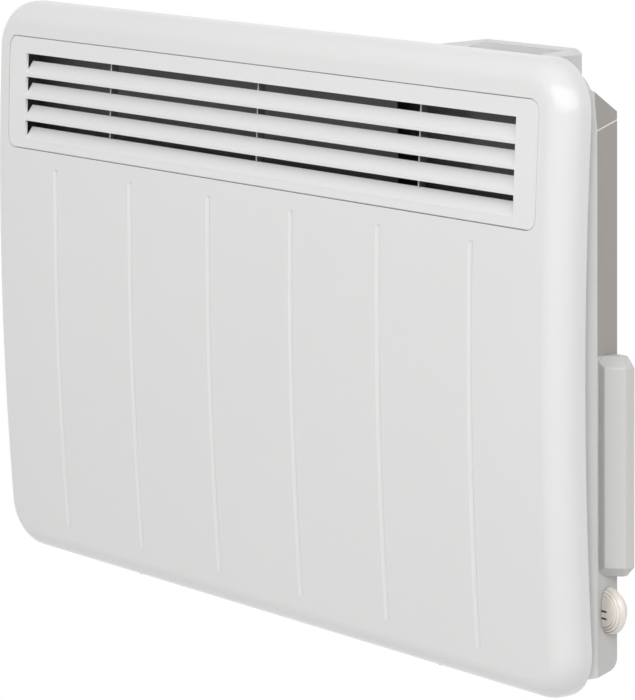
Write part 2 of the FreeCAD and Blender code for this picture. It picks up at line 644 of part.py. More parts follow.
def make_casing():
    """The folded steel box behind the panel, parted along a seam into casing and hood."""
    body = casing_block("casing_box", "0 * dims.casing_t", CASE_FRONT)
    hollow = casing_block("casing_hollow", "dims.casing_t", CASE_FRONT + " + dims.casing_t")
    through = "dims.casing_t * 4"
    inner = "(%s - dims.bevel - dims.flange_w)" % CASE_SIDE
    opening = rectangle(mirrored(inner), (FLOOR + " + dims.flange_w", HOOD_FRONT + " - dims.flange_w"))
    pocket(body, outline(body, "XZ_Plane", opening, offset="-(%s)" % CASE_FRONT), through)
    first = "dims.vent_side - %s" % CASE_SIDE
    middle = "%s + dims.casing_d / 2" % CASE_FRONT
    vent = rectangle((first + " - dims.vent_w / 2", first + " + dims.vent_w / 2"),
                     (middle + " - dims.vent_d / 2", middle + " + dims.vent_d / 2"))
    inlet = pocket(body, outline(body, "XY_Plane", vent, offset=FLOOR + " + dims.floor_rise / 2"),
                   through + " + dims.floor_rise")
    pattern(body, [inlet], "2 * (%s - dims.vent_side)" % CASE_SIDE, str(VENTS))
    slots = []
    for side in (-1, 1):
        ends = sorted(("%d * (dims.arm_x - dims.hook_w / 2 - dims.slot_fit)" % side,
                       "%d * (dims.arm_x + dims.hook_w / 2 + dims.slot_fit)" % side), key=num)
        for height in ("dims.hook_z", "-dims.hook_z"):
            top = height + " + dims.bracket_t"
            foot = top + " - dims.hook_h - dims.bracket_t - dims.slot_fit"
            slots.append(rectangle(ends, (foot, top)))
    pocket(body, outline(body, "XZ_Plane", *slots, offset="-(%s)" % CASE_BACK), through)
    neck = "(dims.entry_r + dims.entry_wall + dims.spindle_fit)"
    entry = rectangle(("%s - %s" % (ENTRY_X, neck), "%s + %s" % (ENTRY_X, neck)),
                      ("%s - %s" % (ENTRY_Z, neck), "%s + %s" % (ENTRY_Z, neck)))
    pocket(body, outline(body, "XZ_Plane", entry, offset="-(%s)" % CASE_BACK), through)
    bush = "dims.bush_r + dims.spindle_fit"
    pocket(body, disc(body, "YZ_Plane", DIAL_Y, DIAL_Z, bush, offset=CASE_SIDE), through)
    hatch = rectangle((COVER_FRONT + " + dims.hatch_in", CASE_BACK + " - dims.hatch_in"),
                      (COVER_LOW + " + dims.hatch_margin", COVER_TOP + " - dims.hatch_margin"))
    pocket(body, outline(body, "YZ_Plane", hatch, offset=CASE_SIDE), through)
    below, above = above_seam("seam_tool", "0"), above_seam("hood_tool", "dims.seam_gap")
    shell = cut("casing_shell", body, hollow)
    cut("rear_casing", shell, below)
    hood = doc.addObject("Part::MultiCommon", "casing_hood")
    hood.Shapes = [shell, above]


def make_panel_fixings():
    """Four angle brackets that carry the panel on the casing, and the two screws below."""
    brackets, screws = [], []
    lip_front = "%s - dims.skirt / 2" % SCREW_Y
    behind = (CASE_FRONT + " - dims.clip_t", CASE_FRONT)
    for side in (-1, 1):
        x = "%d * %s" % (side, CLIP_X)
        span = (x + " - dims.clip_w / 2", x + " + dims.clip_w / 2")
        tag = "left" if side < 0 else "right"
        top_leg = (DUCT_TOP + " + dims.clip_gap", SKIRT_IN)
        top_lip = (SKIRT_IN + " - dims.clip_t", SKIRT_IN)
        brackets.append(fuse("angle_top_" + tag, block("leg_top_" + tag, span, behind, top_leg),
                             block("lip_top_" + tag, span, (lip_front, CASE_FRONT), top_lip)))
        low_leg = ("-" + SKIRT_IN, FLOOR + " + dims.clip_lap")
        low_lip = ("-" + SKIRT_IN, "dims.clip_t - " + SKIRT_IN)
        angle = fuse("angle_low_" + tag, block("leg_low_" + tag, span, behind, low_leg),
                     block("lip_low_" + tag, span, (lip_front, CASE_FRONT), low_lip))
        foot = (x, SCREW_Y, "-" + PANEL_TOP)
        punch = block("punch_" + tag, ("%s - %s" % (x, HOLE_R), "%s + %s" % (x, HOLE_R)),
                      ("%s - %s" % (SCREW_Y, HOLE_R), "%s + %s" % (SCREW_Y, HOLE_R)), low_lip)
        brackets.append(cut("punched_" + tag, angle, punch))
        screws.append(hex_screw("panel_screw_" + tag, foot, "dims.head_t * 3"))
    group("panel_brackets", *brackets)
    group("panel_screws", *screws)


def hex_screw(name, at, length):
    """A hexagon-headed screw: its head's underside is at the point, its shank runs up from there."""
    head = doc.addObject("Part::Prism", name + "_head")
    head.Polygon = 6
    bind(head, Circumradius="dims.head_r", Height="dims.head_t")
    place(head, (at[0], at[1], "%s - dims.head_t" % at[2]))
    return fuse(name, head, rod(name + "_shank", "Z", at, "dims.screw_r", length))


def make_pod():
    """Control pod on the hood: a moulded housing with a scooped top, and its blanking cover."""
    body = new_body("pod_housing")
    rear = CASE_FRONT + " + dims.pod_d"
    hood_rear = "%s - dims.hood_fall * dims.pod_d / dims.casing_d" % HOOD_FRONT
    side = outline(body, "YZ_Plane", [(CASE_FRONT, HOOD_FRONT), (rear, hood_rear), (rear, POD_BACK),
                                      (CASE_FRONT, POD_FRONT)], offset=POD_LEFT)
    pad(body, side, "dims.pod_w")
    above = POD_BACK + " + dims.pod_sink"
    bevel = POD_RIGHT + " - dims.pod_bevel"
    flank = [(POD_LEFT, POD_BACK + " - dims.pod_flank"), (POD_RIDGE, POD_BACK), (POD_RIDGE, above),
             (POD_LEFT, above)]
    shoulder = [(bevel, POD_BACK), (POD_RIGHT, POD_FRONT), (POD_RIGHT, above), (bevel, above)]
    shaped = pocket(body, outline(body, "XZ_Plane", flank, shoulder, offset="-(%s)" % CASE_FRONT),
                    "dims.pod_d * 3")
    rear_y, ridge_x = num(rear), num(POD_RIDGE)
    corner = edges_along(shaped, ALONG_Z, lambda at: at.y > rear_y - 0.1 and at.x > ridge_x)
    dress(body, "Fillet", shaped, corner, "Radius", "dims.pod_edge")
    shelf = "%s - dims.pod_shelf" % rear
    left = POD_RIDGE + " + dims.pod_rim"
    right, right_back = POD_RIGHT + " - dims.pod_cheek", POD_RIGHT + " - dims.pod_cheek_back"
    scoop = [(left, CASE_FRONT + " - dims.pod_rim"), (right, CASE_FRONT + " - dims.pod_rim"),
             (right, CASE_FRONT), (right_back, shelf), (left, shelf)]
    recess = outline(body, "XY_Plane", scoop, offset=POD_FLOOR + " + dims.pod_sink")
    pocket(body, recess, "dims.pod_sink * 2")
    lid = new_body("pod_cover")
    gap = " + dims.bezel_gap"
    plate = [(left + gap, CASE_FRONT), (right + " - dims.bezel_gap", CASE_FRONT),
             (right_back + " - dims.bezel_gap", shelf + " - dims.bezel_gap"),
             (left + gap, shelf + " - dims.bezel_gap")]
    pad(lid, outline(lid, "XY_Plane", plate, offset=POD_FLOOR), "dims.lid_back")
    high = POD_FLOOR + " + dims.lid_back"
    fall = [(CASE_FRONT, POD_FLOOR + " + dims.lid_front"), (shelf, high), (shelf, high + " * 1.1"),
            (CASE_FRONT, high + " * 1.1")]
    pocket(lid, outline(lid, "YZ_Plane", fall, offset=POD_RIDGE), "dims.pod_w * 2")


def make_side_cover():
    """Faceted cover over the wiring hatch in the casing's right side."""
    body = new_body("side_cover")
    out = "%s + dims.cover_step" % CASE_SIDE
    face = out + " + dims.cover_out"
    plan = [(CASE_SIDE, COVER_FRONT), (out, COVER_FRONT), (face, COVER_FRONT + " + dims.cover_back"),
            (face, CASE_BACK), (CASE_SIDE, CASE_BACK)]
    solid = pad(body, outline(body, "XY_Plane", plan, offset=COVER_LOW), "dims.cover_h")
    ends, outer, back = (num(COVER_LOW), num(COVER_TOP)), num(out), num(CASE_BACK)
    rim = []
    for index, edge in enumerate(solid.Shape.Edges, 1):
        at = edge.CenterOfMass
        if min(abs(at.z - end) for end in ends) < 0.1 and at.x > outer + 1 and at.y < back - 0.1:
            rim.append("Edge%d" % index)
    solid = dress(body, "Chamfer", solid, rim, "Size", "dims.cover_end")
    open_side = face_at(solid, lambda face_item: face_item.CenterOfMass.x)
    dress(body, "Thickness", solid, [open_side], "Value", "dims.cover_t")


def make_thermostat():
    """Room thermostat on the casing's right side: body and bush, nut, spindle and knob."""
    y_span = (DIAL_Y + " - dims.stat_front", DIAL_Y + " + dims.stat_rear")
    z_span = (DIAL_Z + " - dims.stat_h / 2", DIAL_Z + " + dims.stat_h / 2")
    shell = block("stat_box", (CASE_SIDE_IN + " - dims.stat_w", CASE_SIDE_IN), y_span, z_span)
    bush = rod("stat_bush", "X", (CASE_SIDE_IN, DIAL_Y, DIAL_Z), "dims.bush_r",
               "dims.casing_t + dims.bush_l")
    inside = (CASE_SIDE_IN + " - dims.spindle_in", DIAL_Y, DIAL_Z)
    bore = rod("stat_bore", "X", inside, "dims.spindle_r + dims.spindle_fit",
               "dims.spindle_in + dims.bush_l * 3")
    cut("thermostat_body", fuse("stat_solid", shell, bush), bore)
    hex_nut("thermostat_nut", "X", (CASE_SIDE, DIAL_Y, DIAL_Z), "dims.nut_r",
            "dims.bush_r + dims.spindle_fit", "dims.nut_t")
    rod("thermostat_spindle", "X", inside, "dims.spindle_r",
        "dims.spindle_in + dims.casing_t + dims.spindle_out")
    body = new_body("thermostat_knob")
    section = [("%s * dims.knob_r" % out, "%s * dims.knob_w" % across) for across, out in KNOB_SECTION]
    turned(body, outline(body, "XY_Plane", section), "Y_Axis", angle=180)
    room = mirrored("(dims.nut_r + dims.knob_room)")
    well = outline(body, "YZ_Plane", rectangle(room, room))
    pocket(body, well, "2 * (dims.bush_l + dims.knob_room - dims.knob_gap)")
    bore = disc(body, "YZ_Plane", "0", "0", "dims.spindle_r")
    pocket(body, bore, "2 * (dims.spindle_out - dims.knob_gap)")
    place(body, (CASE_SIDE + " + dims.knob_gap", DIAL_Y, DIAL_Z))


def make_element():
    """Finned aluminium heating element, its ceramic ends, terminal tabs and brackets."""
    body = new_body("heating_element")
    core = []
    for index in range(8):
        turn = math.radians(22.5 + 45 * index)
        core.append(("%s + %.6f * dims.hub_r" % (ELEMENT_Y, math.cos(turn)),
                     "%s + %.6f * dims.hub_r" % (ELEMENT_Z, math.sin(turn))))
    pad(body, outline(body, "YZ_Plane", core, offset=ELEMENT_LEFT), ELEMENT_L)
    leaves = []
    for angle in (45, 135):
        across = Vector(math.cos(math.radians(angle)), math.sin(math.radians(angle)))
        along = Vector(-across.y, across.x)
        corners = []
        for sign_a, sign_b in ((-1, -1), (1, -1), (1, 1), (-1, 1)):
            corner = []
            for axis, start in (("x", ELEMENT_Y), ("y", ELEMENT_Z)):
                reach = sign_a * getattr(across, axis)
                wide = sign_b * getattr(along, axis) / 2
                corner.append("%s + %.6f * dims.fin_l + %.6f * dims.fin_t" % (start, reach, wide))
            corners.append(tuple(corner))
        leaf = outline(body, "YZ_Plane", corners, offset=ELEMENT_LEFT + " + dims.leaf_gap / 2")
        leaves.append(pad(body, leaf, "dims.leaf_l"))
    pattern(body, leaves, "(dims.leaf_l + dims.leaf_gap) * (%s - 1)" % LEAVES, LEAVES)
    ends, tabs, stays = [], [], []

    def bar(name, x_span, depth, height):
        y_span = ("%s - (%s) / 2" % (ELEMENT_Y, depth), "%s + (%s) / 2" % (ELEMENT_Y, depth))
        z_span = ("%s - (%s) / 2" % (ELEMENT_Z, height), "%s + (%s) / 2" % (ELEMENT_Z, height))
        return block(name, x_span, y_span, z_span)

    for tag, sign, end in (("left", "-", ELEMENT_LEFT), ("right", "+", ELEMENT_RIGHT)):
        start = end + " - dims.ceramic_l" if sign == "-" else end
        ends.append(bar("ceramic_" + tag, (start, start + " + dims.ceramic_l"),
                        "dims.ceramic_w", "dims.ceramic_w"))
        tab = start + (" - dims.tab_l" if sign == "-" else " + dims.ceramic_l")
        tabs.append(bar("tab_" + tag, (tab, tab + " + dims.tab_l"), "dims.tab_t", "dims.tab_w"))
        middle = "%s %s dims.ceramic_l / 2" % (end, sign)
        sheet = (middle + " - dims.stay_t / 2", middle + " + dims.stay_t / 2")
        z_span = (ELEMENT_Z + " - dims.stay_h / 2", ELEMENT_Z + " + dims.stay_h / 2")
        plate = block("stay_plate_" + tag, sheet, (ELEMENT_Y + " - dims.stay_front", CASE_INNER), z_span)
        toes = sorted((middle, "%s %s dims.stay_foot" % (middle, sign)), key=num)
        foot = block("stay_foot_" + tag, toes, (CASE_INNER + " - dims.stay_t", CASE_INNER), z_span)
        seat = "dims.ceramic_w + 2 * dims.spindle_fit"
        hole = bar("stay_hole_" + tag, sheet, seat, seat)
        stays.append(cut("stay_" + tag, fuse("stay_angle_" + tag, plate, foot), hole))
    group("element_bushes", *ends)
    group("element_pins", *tabs)
    group("element_brackets", *stays)


def make_sheets():
    """Heat shield, front baffle, outlet duct and the bulkhead beside the controls."""
    sheet = "dims.casing_t"
    x_span = (ELEMENT_LEFT + " + dims.shield_in", ELEMENT_RIGHT + " - dims.shield_in")
    face = CASE_INNER + " - dims.shield_gap"
    low, top = FLOOR + " + dims.shield_foot", DUCT_LOW + " - dims.shield_drop"
    plate = block("shield_plate", x_span, (face, face + " + dims.shield_t"), (low, top))
    head = block("shield_head", x_span, (face, CASE_INNER), (top + " - dims.shield_t", top))
    foot = block("shield_foot_fold", x_span, (face, CASE_INNER), (low, low + " + dims.shield_t"))
    fuse("heat_shield", plate, head, foot)
    left = "(dims.baffle_in - %s)" % CASE_SIDE
    z_span = (FLOOR + " + dims.baffle_foot", DUCT_LOW + " - dims.baffle_drop")
    plate = block("baffle_plate", (left, BULK_X), (BULK_FRONT, "%s + %s" % (BULK_FRONT, sheet)), z_span)
    fold = block("baffle_fold", (left, "%s + %s" % (left, sheet)), (BULK_FRONT, CASE_FRONT), z_span)
    foot = block("baffle_toe", ("dims.bevel - %s" % CASE_SIDE, "%s + %s" % (left, sheet)),
                 ("%s - %s" % (CASE_FRONT, sheet), CASE_FRONT), z_span)
    fuse("front_baffle", plate, fold, foot)
    half = "(%s - dims.bevel - dims.flange_w / 2)" % CASE_SIDE
    sag = "%s * %s / (2 * dims.crown_r)" % (BEZEL_TOP, BEZEL_TOP)
    depth = ("%s + dims.panel_t + dims.lip_t + dims.bezel_gap + %s" % (FRONT, sag), CASE_FRONT)
    skin = (CASE_FRONT + " - dims.duct_t", CASE_FRONT)
    z_span = (DUCT_LOW, DUCT_TOP)
    plate = block("duct_back", mirrored(half), skin, z_span)
    roof = block("duct_roof", mirrored(half), depth, (DUCT_TOP + " - dims.duct_t", DUCT_TOP))
    cheek = block("duct_left", ("-" + half, "dims.duct_t - " + half), depth, z_span)
    other = block("duct_right", (half + " - dims.duct_t", half), depth, z_span)
    start = "%s - dims.window_in" % BULK_X
    window = block("duct_window", (start, start + " + dims.window_w"), skin,
                   (DUCT_LOW + " + dims.window_rim", DUCT_TOP + " - dims.window_rim"))
    cut("outlet_duct", fuse("duct_folded", plate, roof, cheek, other), window)
    z_span = (FLOOR + " + dims.bulkhead_foot", BULK_TOP)
    plate = block("bulkhead_plate", (BULK_X, "%s + %s" % (BULK_X, sheet)), (BULK_FRONT, CASE_INNER), z_span)
    foot = block("bulkhead_toe", (BULK_X, BULK_X + " + dims.stay_foot"),
                 ("%s - %s" % (CASE_INNER, sheet), CASE_INNER), z_span)
    fuse("control_bulkhead", plate, foot)


def make_connections():
    """Thermal cut-out, terminal block, cable bush and earth stud."""
    y, z = ELEMENT_Y, "(%s - dims.cutout_drop)" % BULK_TOP
    face = BULK_X + " - dims.cutout_l"
    reach = "dims.cutout_ear + dims.head_r"
    puck = doc.addObject("Part::Prism", "cutout_puck")
    puck.Polygon = 16
    puck.Placement = Placement(Vector(), AXES["X"])
    bind(puck, Circumradius="dims.cutout_r", Height="dims.cutout_l")
    place(puck, (face, y, z))
    ears = block("cutout_ears", (BULK_X + " - dims.casing_t", BULK_X),
                 (y + " - dims.cutout_r / 2", y + " + dims.cutout_r / 2"),
                 ("%s - %s" % (z, reach), "%s + %s" % (z, reach)))
    tabs = []
    for side in (-1, 1):
        low = "%s + %d * dims.cutout_r / 2" % (z, side)
        tabs.append(block("cutout_tab_%d" % (side + 2), (face + " - dims.cutout_l", face),
                          (y + " - dims.cutout_r / 3", y + " + dims.cutout_r / 3"),
                          (low, low + " + dims.casing_t")))
    fuse("thermal_cutout", puck, ears, *tabs)
    x, z = "(%s + dims.block_in)" % BULK_X, "(%s + dims.block_up)" % FLOOR
    front = CASE_INNER + " - dims.block_d"
    z_span = (z + " - dims.block_h / 2", z + " + dims.block_h / 2")
    solid = block("block_solid", (x + " - dims.block_w / 2", x + " + dims.block_w / 2"),
                  (front, CASE_INNER), z_span)
    cuts = []
    for index in range(POLES):
        middle = "%s + dims.block_w / %d * %s" % (x, POLES, index - (POLES - 1) / 2)
        entry = (middle + " - dims.wire_r", middle + " + dims.wire_r")
        depth = (front + " + dims.block_d / 2 - dims.wire_r", front + " + dims.block_d / 2 + dims.wire_r")
        cuts.append(block("block_entry_%d" % index, entry, depth, z_span))
        head = (middle + " - dims.stud_r", middle + " + dims.stud_r")
        cuts.append(block("block_screw_%d" % index, head, (front, front + " + dims.block_d / 4"),
                          (z + " - dims.stud_r", z + " + dims.stud_r")))
    cut("terminal_block", solid, *cuts)
    inside, outside = CASE_INNER + " - dims.entry_t", CASE_BACK + " + dims.entry_t"

    def square(name, reach, y_span):
        x_span = ("%s - (%s)" % (ENTRY_X, reach), "%s + (%s)" % (ENTRY_X, reach))
        z_span = ("%s - (%s)" % (ENTRY_Z, reach), "%s + (%s)" % (ENTRY_Z, reach))
        return block(name, x_span, y_span, z_span)

    neck = square("entry_neck", "dims.entry_r + dims.entry_wall", (inside, outside))
    flange = square("entry_rim", "dims.entry_r + dims.entry_wall + dims.entry_flange",
                    (CASE_BACK, outside))
    bore = rod("entry_bore", "Y", (ENTRY_X, inside, ENTRY_Z), "dims.entry_r",
               "dims.casing_t + 2 * dims.entry_t")
    cut("cable_bush", fuse("entry_solid", neck, flange), bore)
    x, z = "%s + dims.stud_in" % BULK_X, "%s + dims.stud_up" % FLOOR
    rod("earth_stud", "Y", (x, CASE_INNER + " - dims.stud_l", z), "dims.stud_r", "dims.stud_l")
    hex_nut("earth_nut", "Y", (x, CASE_INNER + " - dims.stud_r * 1.6", z), "dims.stud_r * 2",
            "dims.stud_r + dims.spindle_fit", "dims.stud_r * 1.6")


def make_wall_bracket():
    """Pressed bracket: two channel arms with hooks, tied by two straps, on four wall screws."""
    pieces, holes = [], []
    sheet = "dims.bracket_t"
    z_span = mirrored("dims.arm_h / 2")
    hook_tip = CASE_BACK + " - dims.hook_l"
    for side in (-1, 1):
        tag = "left" if side < 0 else "right"
        outer = "%d * (dims.arm_x + dims.arm_w / 2)" % side
        inner = "%d * (dims.arm_x - dims.arm_w / 2)" % side
        lip = "%d * (dims.arm_x - dims.hook_w / 2)" % side
        front = (CASE_BACK, "%s + %s" % (CASE_BACK, sheet))
        wall = sorted((outer, "%s - %d * %s" % (outer, side, sheet)), key=num)
        pieces.append(block("arm_back_" + tag, sorted((outer, inner), key=num), ("-" + sheet, "0"), z_span))
        pieces.append(block("arm_side_" + tag, wall, (CASE_BACK, "0"), z_span))
        pieces.append(block("arm_front_" + tag, sorted((outer, lip), key=num), front, z_span))
        hook = sorted((lip, "%d * (dims.arm_x + dims.hook_w / 2)" % side), key=num)
        for name, height in (("top", "dims.hook_z"), ("low", "-dims.hook_z")):
            pieces.append(block("tongue_%s_%s" % (name, tag), hook, (hook_tip, front[1]),
                                (height, "%s + %s" % (height, sheet))))
            pieces.append(block("tip_%s_%s" % (name, tag), hook, (hook_tip, "%s + %s" % (hook_tip, sheet)),
                                (height, height + " + dims.hook_h")))
        for name, up in (("top", 1), ("low", -1)):
            z = "%d * (dims.arm_h / 2 - dims.hole_in)" % up
            at = ("%d * dims.arm_x" % side, "-" + sheet, z)
            holes.append(rod("wall_hole_%s_%s" % (name, tag), "Y", at, "dims.wall_hole_r", sheet))
    for name, up in (("top", 1), ("low", -1)):
        edges = sorted(("%d * dims.arm_h / 2" % up, "%d * (dims.arm_h / 2 - dims.strap_h)" % up), key=num)
        pieces.append(block("strap_" + name, mirrored("dims.arm_x"), ("-" + sheet, "0"), edges))
    cut("wall_bracket", fuse("bracket_solid", *pieces), *holes)


make_front_panel()
make_outlet_grille()
make_casing()
make_panel_fixings()
make_pod()
make_side_cover()
make_thermostat()
make_element()
make_sheets()
make_connections()
make_wall_bracket()
doc.recompute()

NODES = (
    "front_panel", "outlet_grille", "rear_casing", "casing_hood", "panel_brackets", "panel_screws",
    "pod_housing", "pod_cover", "side_cover", "thermostat_body", "thermostat_nut", "thermostat_spindle",
    "thermostat_knob", "heating_element", "element_bushes", "element_pins", "element_brackets",
    "heat_shield", "front_baffle", "outlet_duct", "control_bulkhead", "thermal_cutout", "terminal_block",
    "cable_bush", "earth_stud", "earth_nut", "wall_bracket",
)

broken = [obj.Label for obj in doc.Objects if {"Invalid", "Error"} & set(obj.State)]
for name in NODES:
    shape = doc.getObject(name).Shape
    if shape.isNull() or not shape.isValid():
        broken.append(name)
if broken:
    raise SystemExit("failed: " + ", ".join(broken))

os.makedirs("parts", exist_ok=True)
for name in NODES:
    shape = doc.getObject(name).Shape
    shape.exportStep("parts/%s.step" % name)
    box = shape.BoundBox
    print("%-20s solids %d volume %9.0f  x %.1f %.1f  y %.1f %.1f  z %.1f %.1f" % (
        name, len(shape.Solids), shape.Volume, box.XMin, box.XMax, box.YMin, box.YMax, box.ZMin, box.ZMax))
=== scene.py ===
import json
import math
import bpy
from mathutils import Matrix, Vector

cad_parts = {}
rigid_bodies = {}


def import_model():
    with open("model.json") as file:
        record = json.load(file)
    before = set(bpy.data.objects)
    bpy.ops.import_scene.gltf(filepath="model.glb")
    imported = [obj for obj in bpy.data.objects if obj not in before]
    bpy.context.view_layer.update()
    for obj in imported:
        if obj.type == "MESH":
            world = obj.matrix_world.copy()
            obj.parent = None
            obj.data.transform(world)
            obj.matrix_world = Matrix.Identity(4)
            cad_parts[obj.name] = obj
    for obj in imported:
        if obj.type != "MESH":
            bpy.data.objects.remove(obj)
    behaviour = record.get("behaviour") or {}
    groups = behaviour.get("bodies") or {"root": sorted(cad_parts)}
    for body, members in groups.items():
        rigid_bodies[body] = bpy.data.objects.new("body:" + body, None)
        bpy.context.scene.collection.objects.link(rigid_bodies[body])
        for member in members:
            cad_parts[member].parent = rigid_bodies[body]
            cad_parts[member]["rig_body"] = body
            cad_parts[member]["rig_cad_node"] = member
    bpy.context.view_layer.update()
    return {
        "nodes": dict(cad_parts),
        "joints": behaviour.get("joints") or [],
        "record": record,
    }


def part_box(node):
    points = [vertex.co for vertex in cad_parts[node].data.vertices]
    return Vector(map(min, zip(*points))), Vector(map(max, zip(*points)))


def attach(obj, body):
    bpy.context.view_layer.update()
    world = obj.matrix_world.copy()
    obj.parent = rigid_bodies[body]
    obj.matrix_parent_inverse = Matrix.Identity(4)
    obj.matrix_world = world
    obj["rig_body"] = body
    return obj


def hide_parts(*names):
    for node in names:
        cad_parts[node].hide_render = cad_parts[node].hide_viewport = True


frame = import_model()
nodes = frame["nodes"]
print("loaded", len(nodes), "CAD nodes")

# camera, fitted to the photograph's perspective
camera = {"place": (2.28203, -1.74192, 0.47442), "turn": (80.1242, 0.7323, 52.8826), "lens": 137.161,
          "sensor": 24.0, "clipStart": 0.05}

def addCamera():
    turn = [math.radians(angle) for angle in camera["turn"]]
    bpy.ops.object.camera_add(location=camera["place"], rotation=turn)
    cam = bpy.context.active_object
    cam.data.sensor_fit = "VERTICAL"
    cam.data.sensor_height = camera["sensor"]
    cam.data.lens = camera["lens"]
    cam.data.clip_start = camera["clipStart"]
    bpy.context.scene.camera = cam

addCamera()
bpy.context.scene.view_settings.view_transform = "Standard"
print("camera set")

# node helpers; a value is another node's output, or a plain number or colour
mixSockets = {"factor": 0, "first": 6, "second": 7, "result": 2}  # where a Mix node keeps its colours

def feed(tree, value, socket):
    if isinstance(value, bpy.types.NodeSocket):
        tree.links.new(value, socket)
    else:
        socket.default_value = value

def mathNode(tree, operation, *values):
    node = tree.nodes.new("ShaderNodeMath")
    node.operation = operation
    for value, socket in zip(values, node.inputs):
        feed(tree, value, socket)
    return node.outputs[0]

def blendColors(tree, factor, first, second):
    mix = tree.nodes.new("ShaderNodeMix")
    mix.data_type = "RGBA"
    feed(tree, factor, mix.inputs[mixSockets["factor"]])
    feed(tree, first, mix.inputs[mixSockets["first"]])
    feed(tree, second, mix.inputs[mixSockets["second"]])
    return mix.outputs[mixSockets["result"]]

def objectCoords(tree):
    return tree.nodes.new("ShaderNodeTexCoord").outputs["Object"]

# studio: a pale floor well below the heater, an even tent of light, two soft boxes and a card for the gloss
studio = {"floorZ": -0.62, "floorSize": 14.0, "floorColor": (0.86, 0.86, 0.86, 1), "floorRough": 0.9,
          "white": (1, 1, 1, 1), "worldLight": 0.46}
lamps = {
    "wideSoft": {"place": (2.15, -1.15, 1.50), "aim": (0.2, -0.07, 0.1), "size": (2.0, 1.5), "power": 32,
                 "in": "diffuse"},
    "frontSoft": {"place": (0.0, -2.1, 1.6), "aim": (-0.1, 0, 0), "size": (1.6, 1.2), "power": 17,
                  "in": "diffuse"},
    "glossCard": {"place": (1.95, -1.45, 1.60), "aim": (0.33, -0.07, 0.15), "size": (5.6, 2.1), "power": 88,
                  "in": "gloss"},
}

def addLamp(name, lamp):
    bpy.ops.object.light_add(type="AREA", location=lamp["place"])
    light = bpy.context.active_object
    light.name = name
    towards = Vector(lamp["aim"]) - Vector(lamp["place"])
    light.rotation_euler = towards.to_track_quat("-Z", "Y").to_euler()
    light.data.shape = "RECTANGLE"
    light.data.size, light.data.size_y = lamp["size"]
    light.data.energy = lamp["power"]
    light.visible_diffuse = lamp["in"] == "diffuse"
    light.visible_glossy = lamp["in"] == "gloss"

def seenWhite(tree, shader, output, whiteNode):
    # what the camera, gloss and glass see is white; everything else gets the real surface
    rays = tree.nodes.new("ShaderNodeLightPath")
    seen = mathNode(tree, "MAXIMUM", rays.outputs["Is Camera Ray"], rays.outputs["Is Glossy Ray"])
    seen = mathNode(tree, "MAXIMUM", seen, rays.outputs["Is Transmission Ray"])
    white = tree.nodes.new(whiteNode)
    white.inputs["Color"].default_value = studio["white"]
    white.inputs["Strength"].default_value = 1.0
    mix = tree.nodes.new("ShaderNodeMixShader")
    for value, socket in zip((seen, shader.outputs[0], white.outputs[0]), mix.inputs):
        tree.links.new(value, socket)
    tree.links.new(mix.outputs[0], output.inputs["Surface"])

def addWorld():
    world = bpy.data.worlds.new("studioWorld")
    bpy.context.scene.world = world
    world.use_nodes = True
    tree = world.node_tree
    sky = tree.nodes["Background"]
    sky.inputs["Color"].default_value = studio["white"]
    sky.inputs["Strength"].default_value = studio["worldLight"]
    seenWhite(tree, sky, tree.nodes["World Output"], "ShaderNodeBackground")

def addFloor():
    bpy.ops.mesh.primitive_plane_add(size=studio["floorSize"], location=(0, 0, studio["floorZ"]))
    floor = bpy.context.active_object
    floor.name = "floor"
    bpy.ops.object.transform_apply(location=True)
    mat = bpy.data.materials.new("floorPaint")
    mat.use_nodes = True
    tree = mat.node_tree
    shader = tree.nodes["Principled BSDF"]
    shader.inputs["Base Color"].default_value = studio["floorColor"]
    shader.inputs["Roughness"].default_value = studio["floorRough"]
    seenWhite(tree, shader, tree.nodes["Material Output"], "ShaderNodeEmission")
    floor.data.materials.append(mat)

addWorld()
addFloor()
for name, lamp in lamps.items():
    addLamp(name, lamp)
print("studio set")

# surface effects, one node group each: two tones, a slow drift, one fine pattern and a span of roughness
effectLooks = {
    "skin": {"fine": "Peel", "driftDetail": 3, "fineDetail": 2},
    "rolled": {"fine": "Streak", "driftDetail": 4, "fineDetail": 2, "stretch": (0.02, 1, 1)},
    "spangle": {"fine": "Crystal", "driftDetail": 3},
}

def newGroup(name):
    tree = bpy.data.node_groups.new(name, "ShaderNodeTree")
    fine = effectLooks[name]["fine"]
    for way, kind, labels in (("INPUT", "NodeSocketColor", ("Tone", "Tone Two")),
                              ("INPUT", "NodeSocketFloat", ("Drift", fine, "Rough Low", "Rough High")),
                              ("OUTPUT", "NodeSocketColor", ("Color",)),
                              ("OUTPUT", "NodeSocketFloat", ("Roughness", "Height"))):
        for label in labels:
            tree.interface.new_socket(name=label, in_out=way, socket_type=kind)
    return tree, tree.nodes.new("NodeGroupInput"), tree.nodes.new("NodeGroupOutput")

def addNoise(tree, coords, scale, detail):
    noise = tree.nodes.new("ShaderNodeTexNoise")
    noise.inputs["Detail"].default_value = detail
    tree.links.new(coords, noise.inputs["Vector"])
    tree.links.new(scale, noise.inputs["Scale"])
    return noise.outputs[0]

def spread(tree, factor, low, high):
    reach = tree.nodes.new("ShaderNodeMapRange")
    tree.links.new(factor, reach.inputs["Value"])
    tree.links.new(low, reach.inputs["To Min"])
    tree.links.new(high, reach.inputs["To Max"])
    return reach.outputs[0]

def closeGroup(tree, start, end, toneBy, roughBy, height):
    tone = blendColors(tree, toneBy, start.outputs["Tone"], start.outputs["Tone Two"])
    rough = spread(tree, roughBy, start.outputs["Rough Low"], start.outputs["Rough High"])
    tree.links.new(tone, end.inputs["Color"])
    tree.links.new(rough, end.inputs["Roughness"])
    tree.links.new(height, end.inputs["Height"])
    return tree

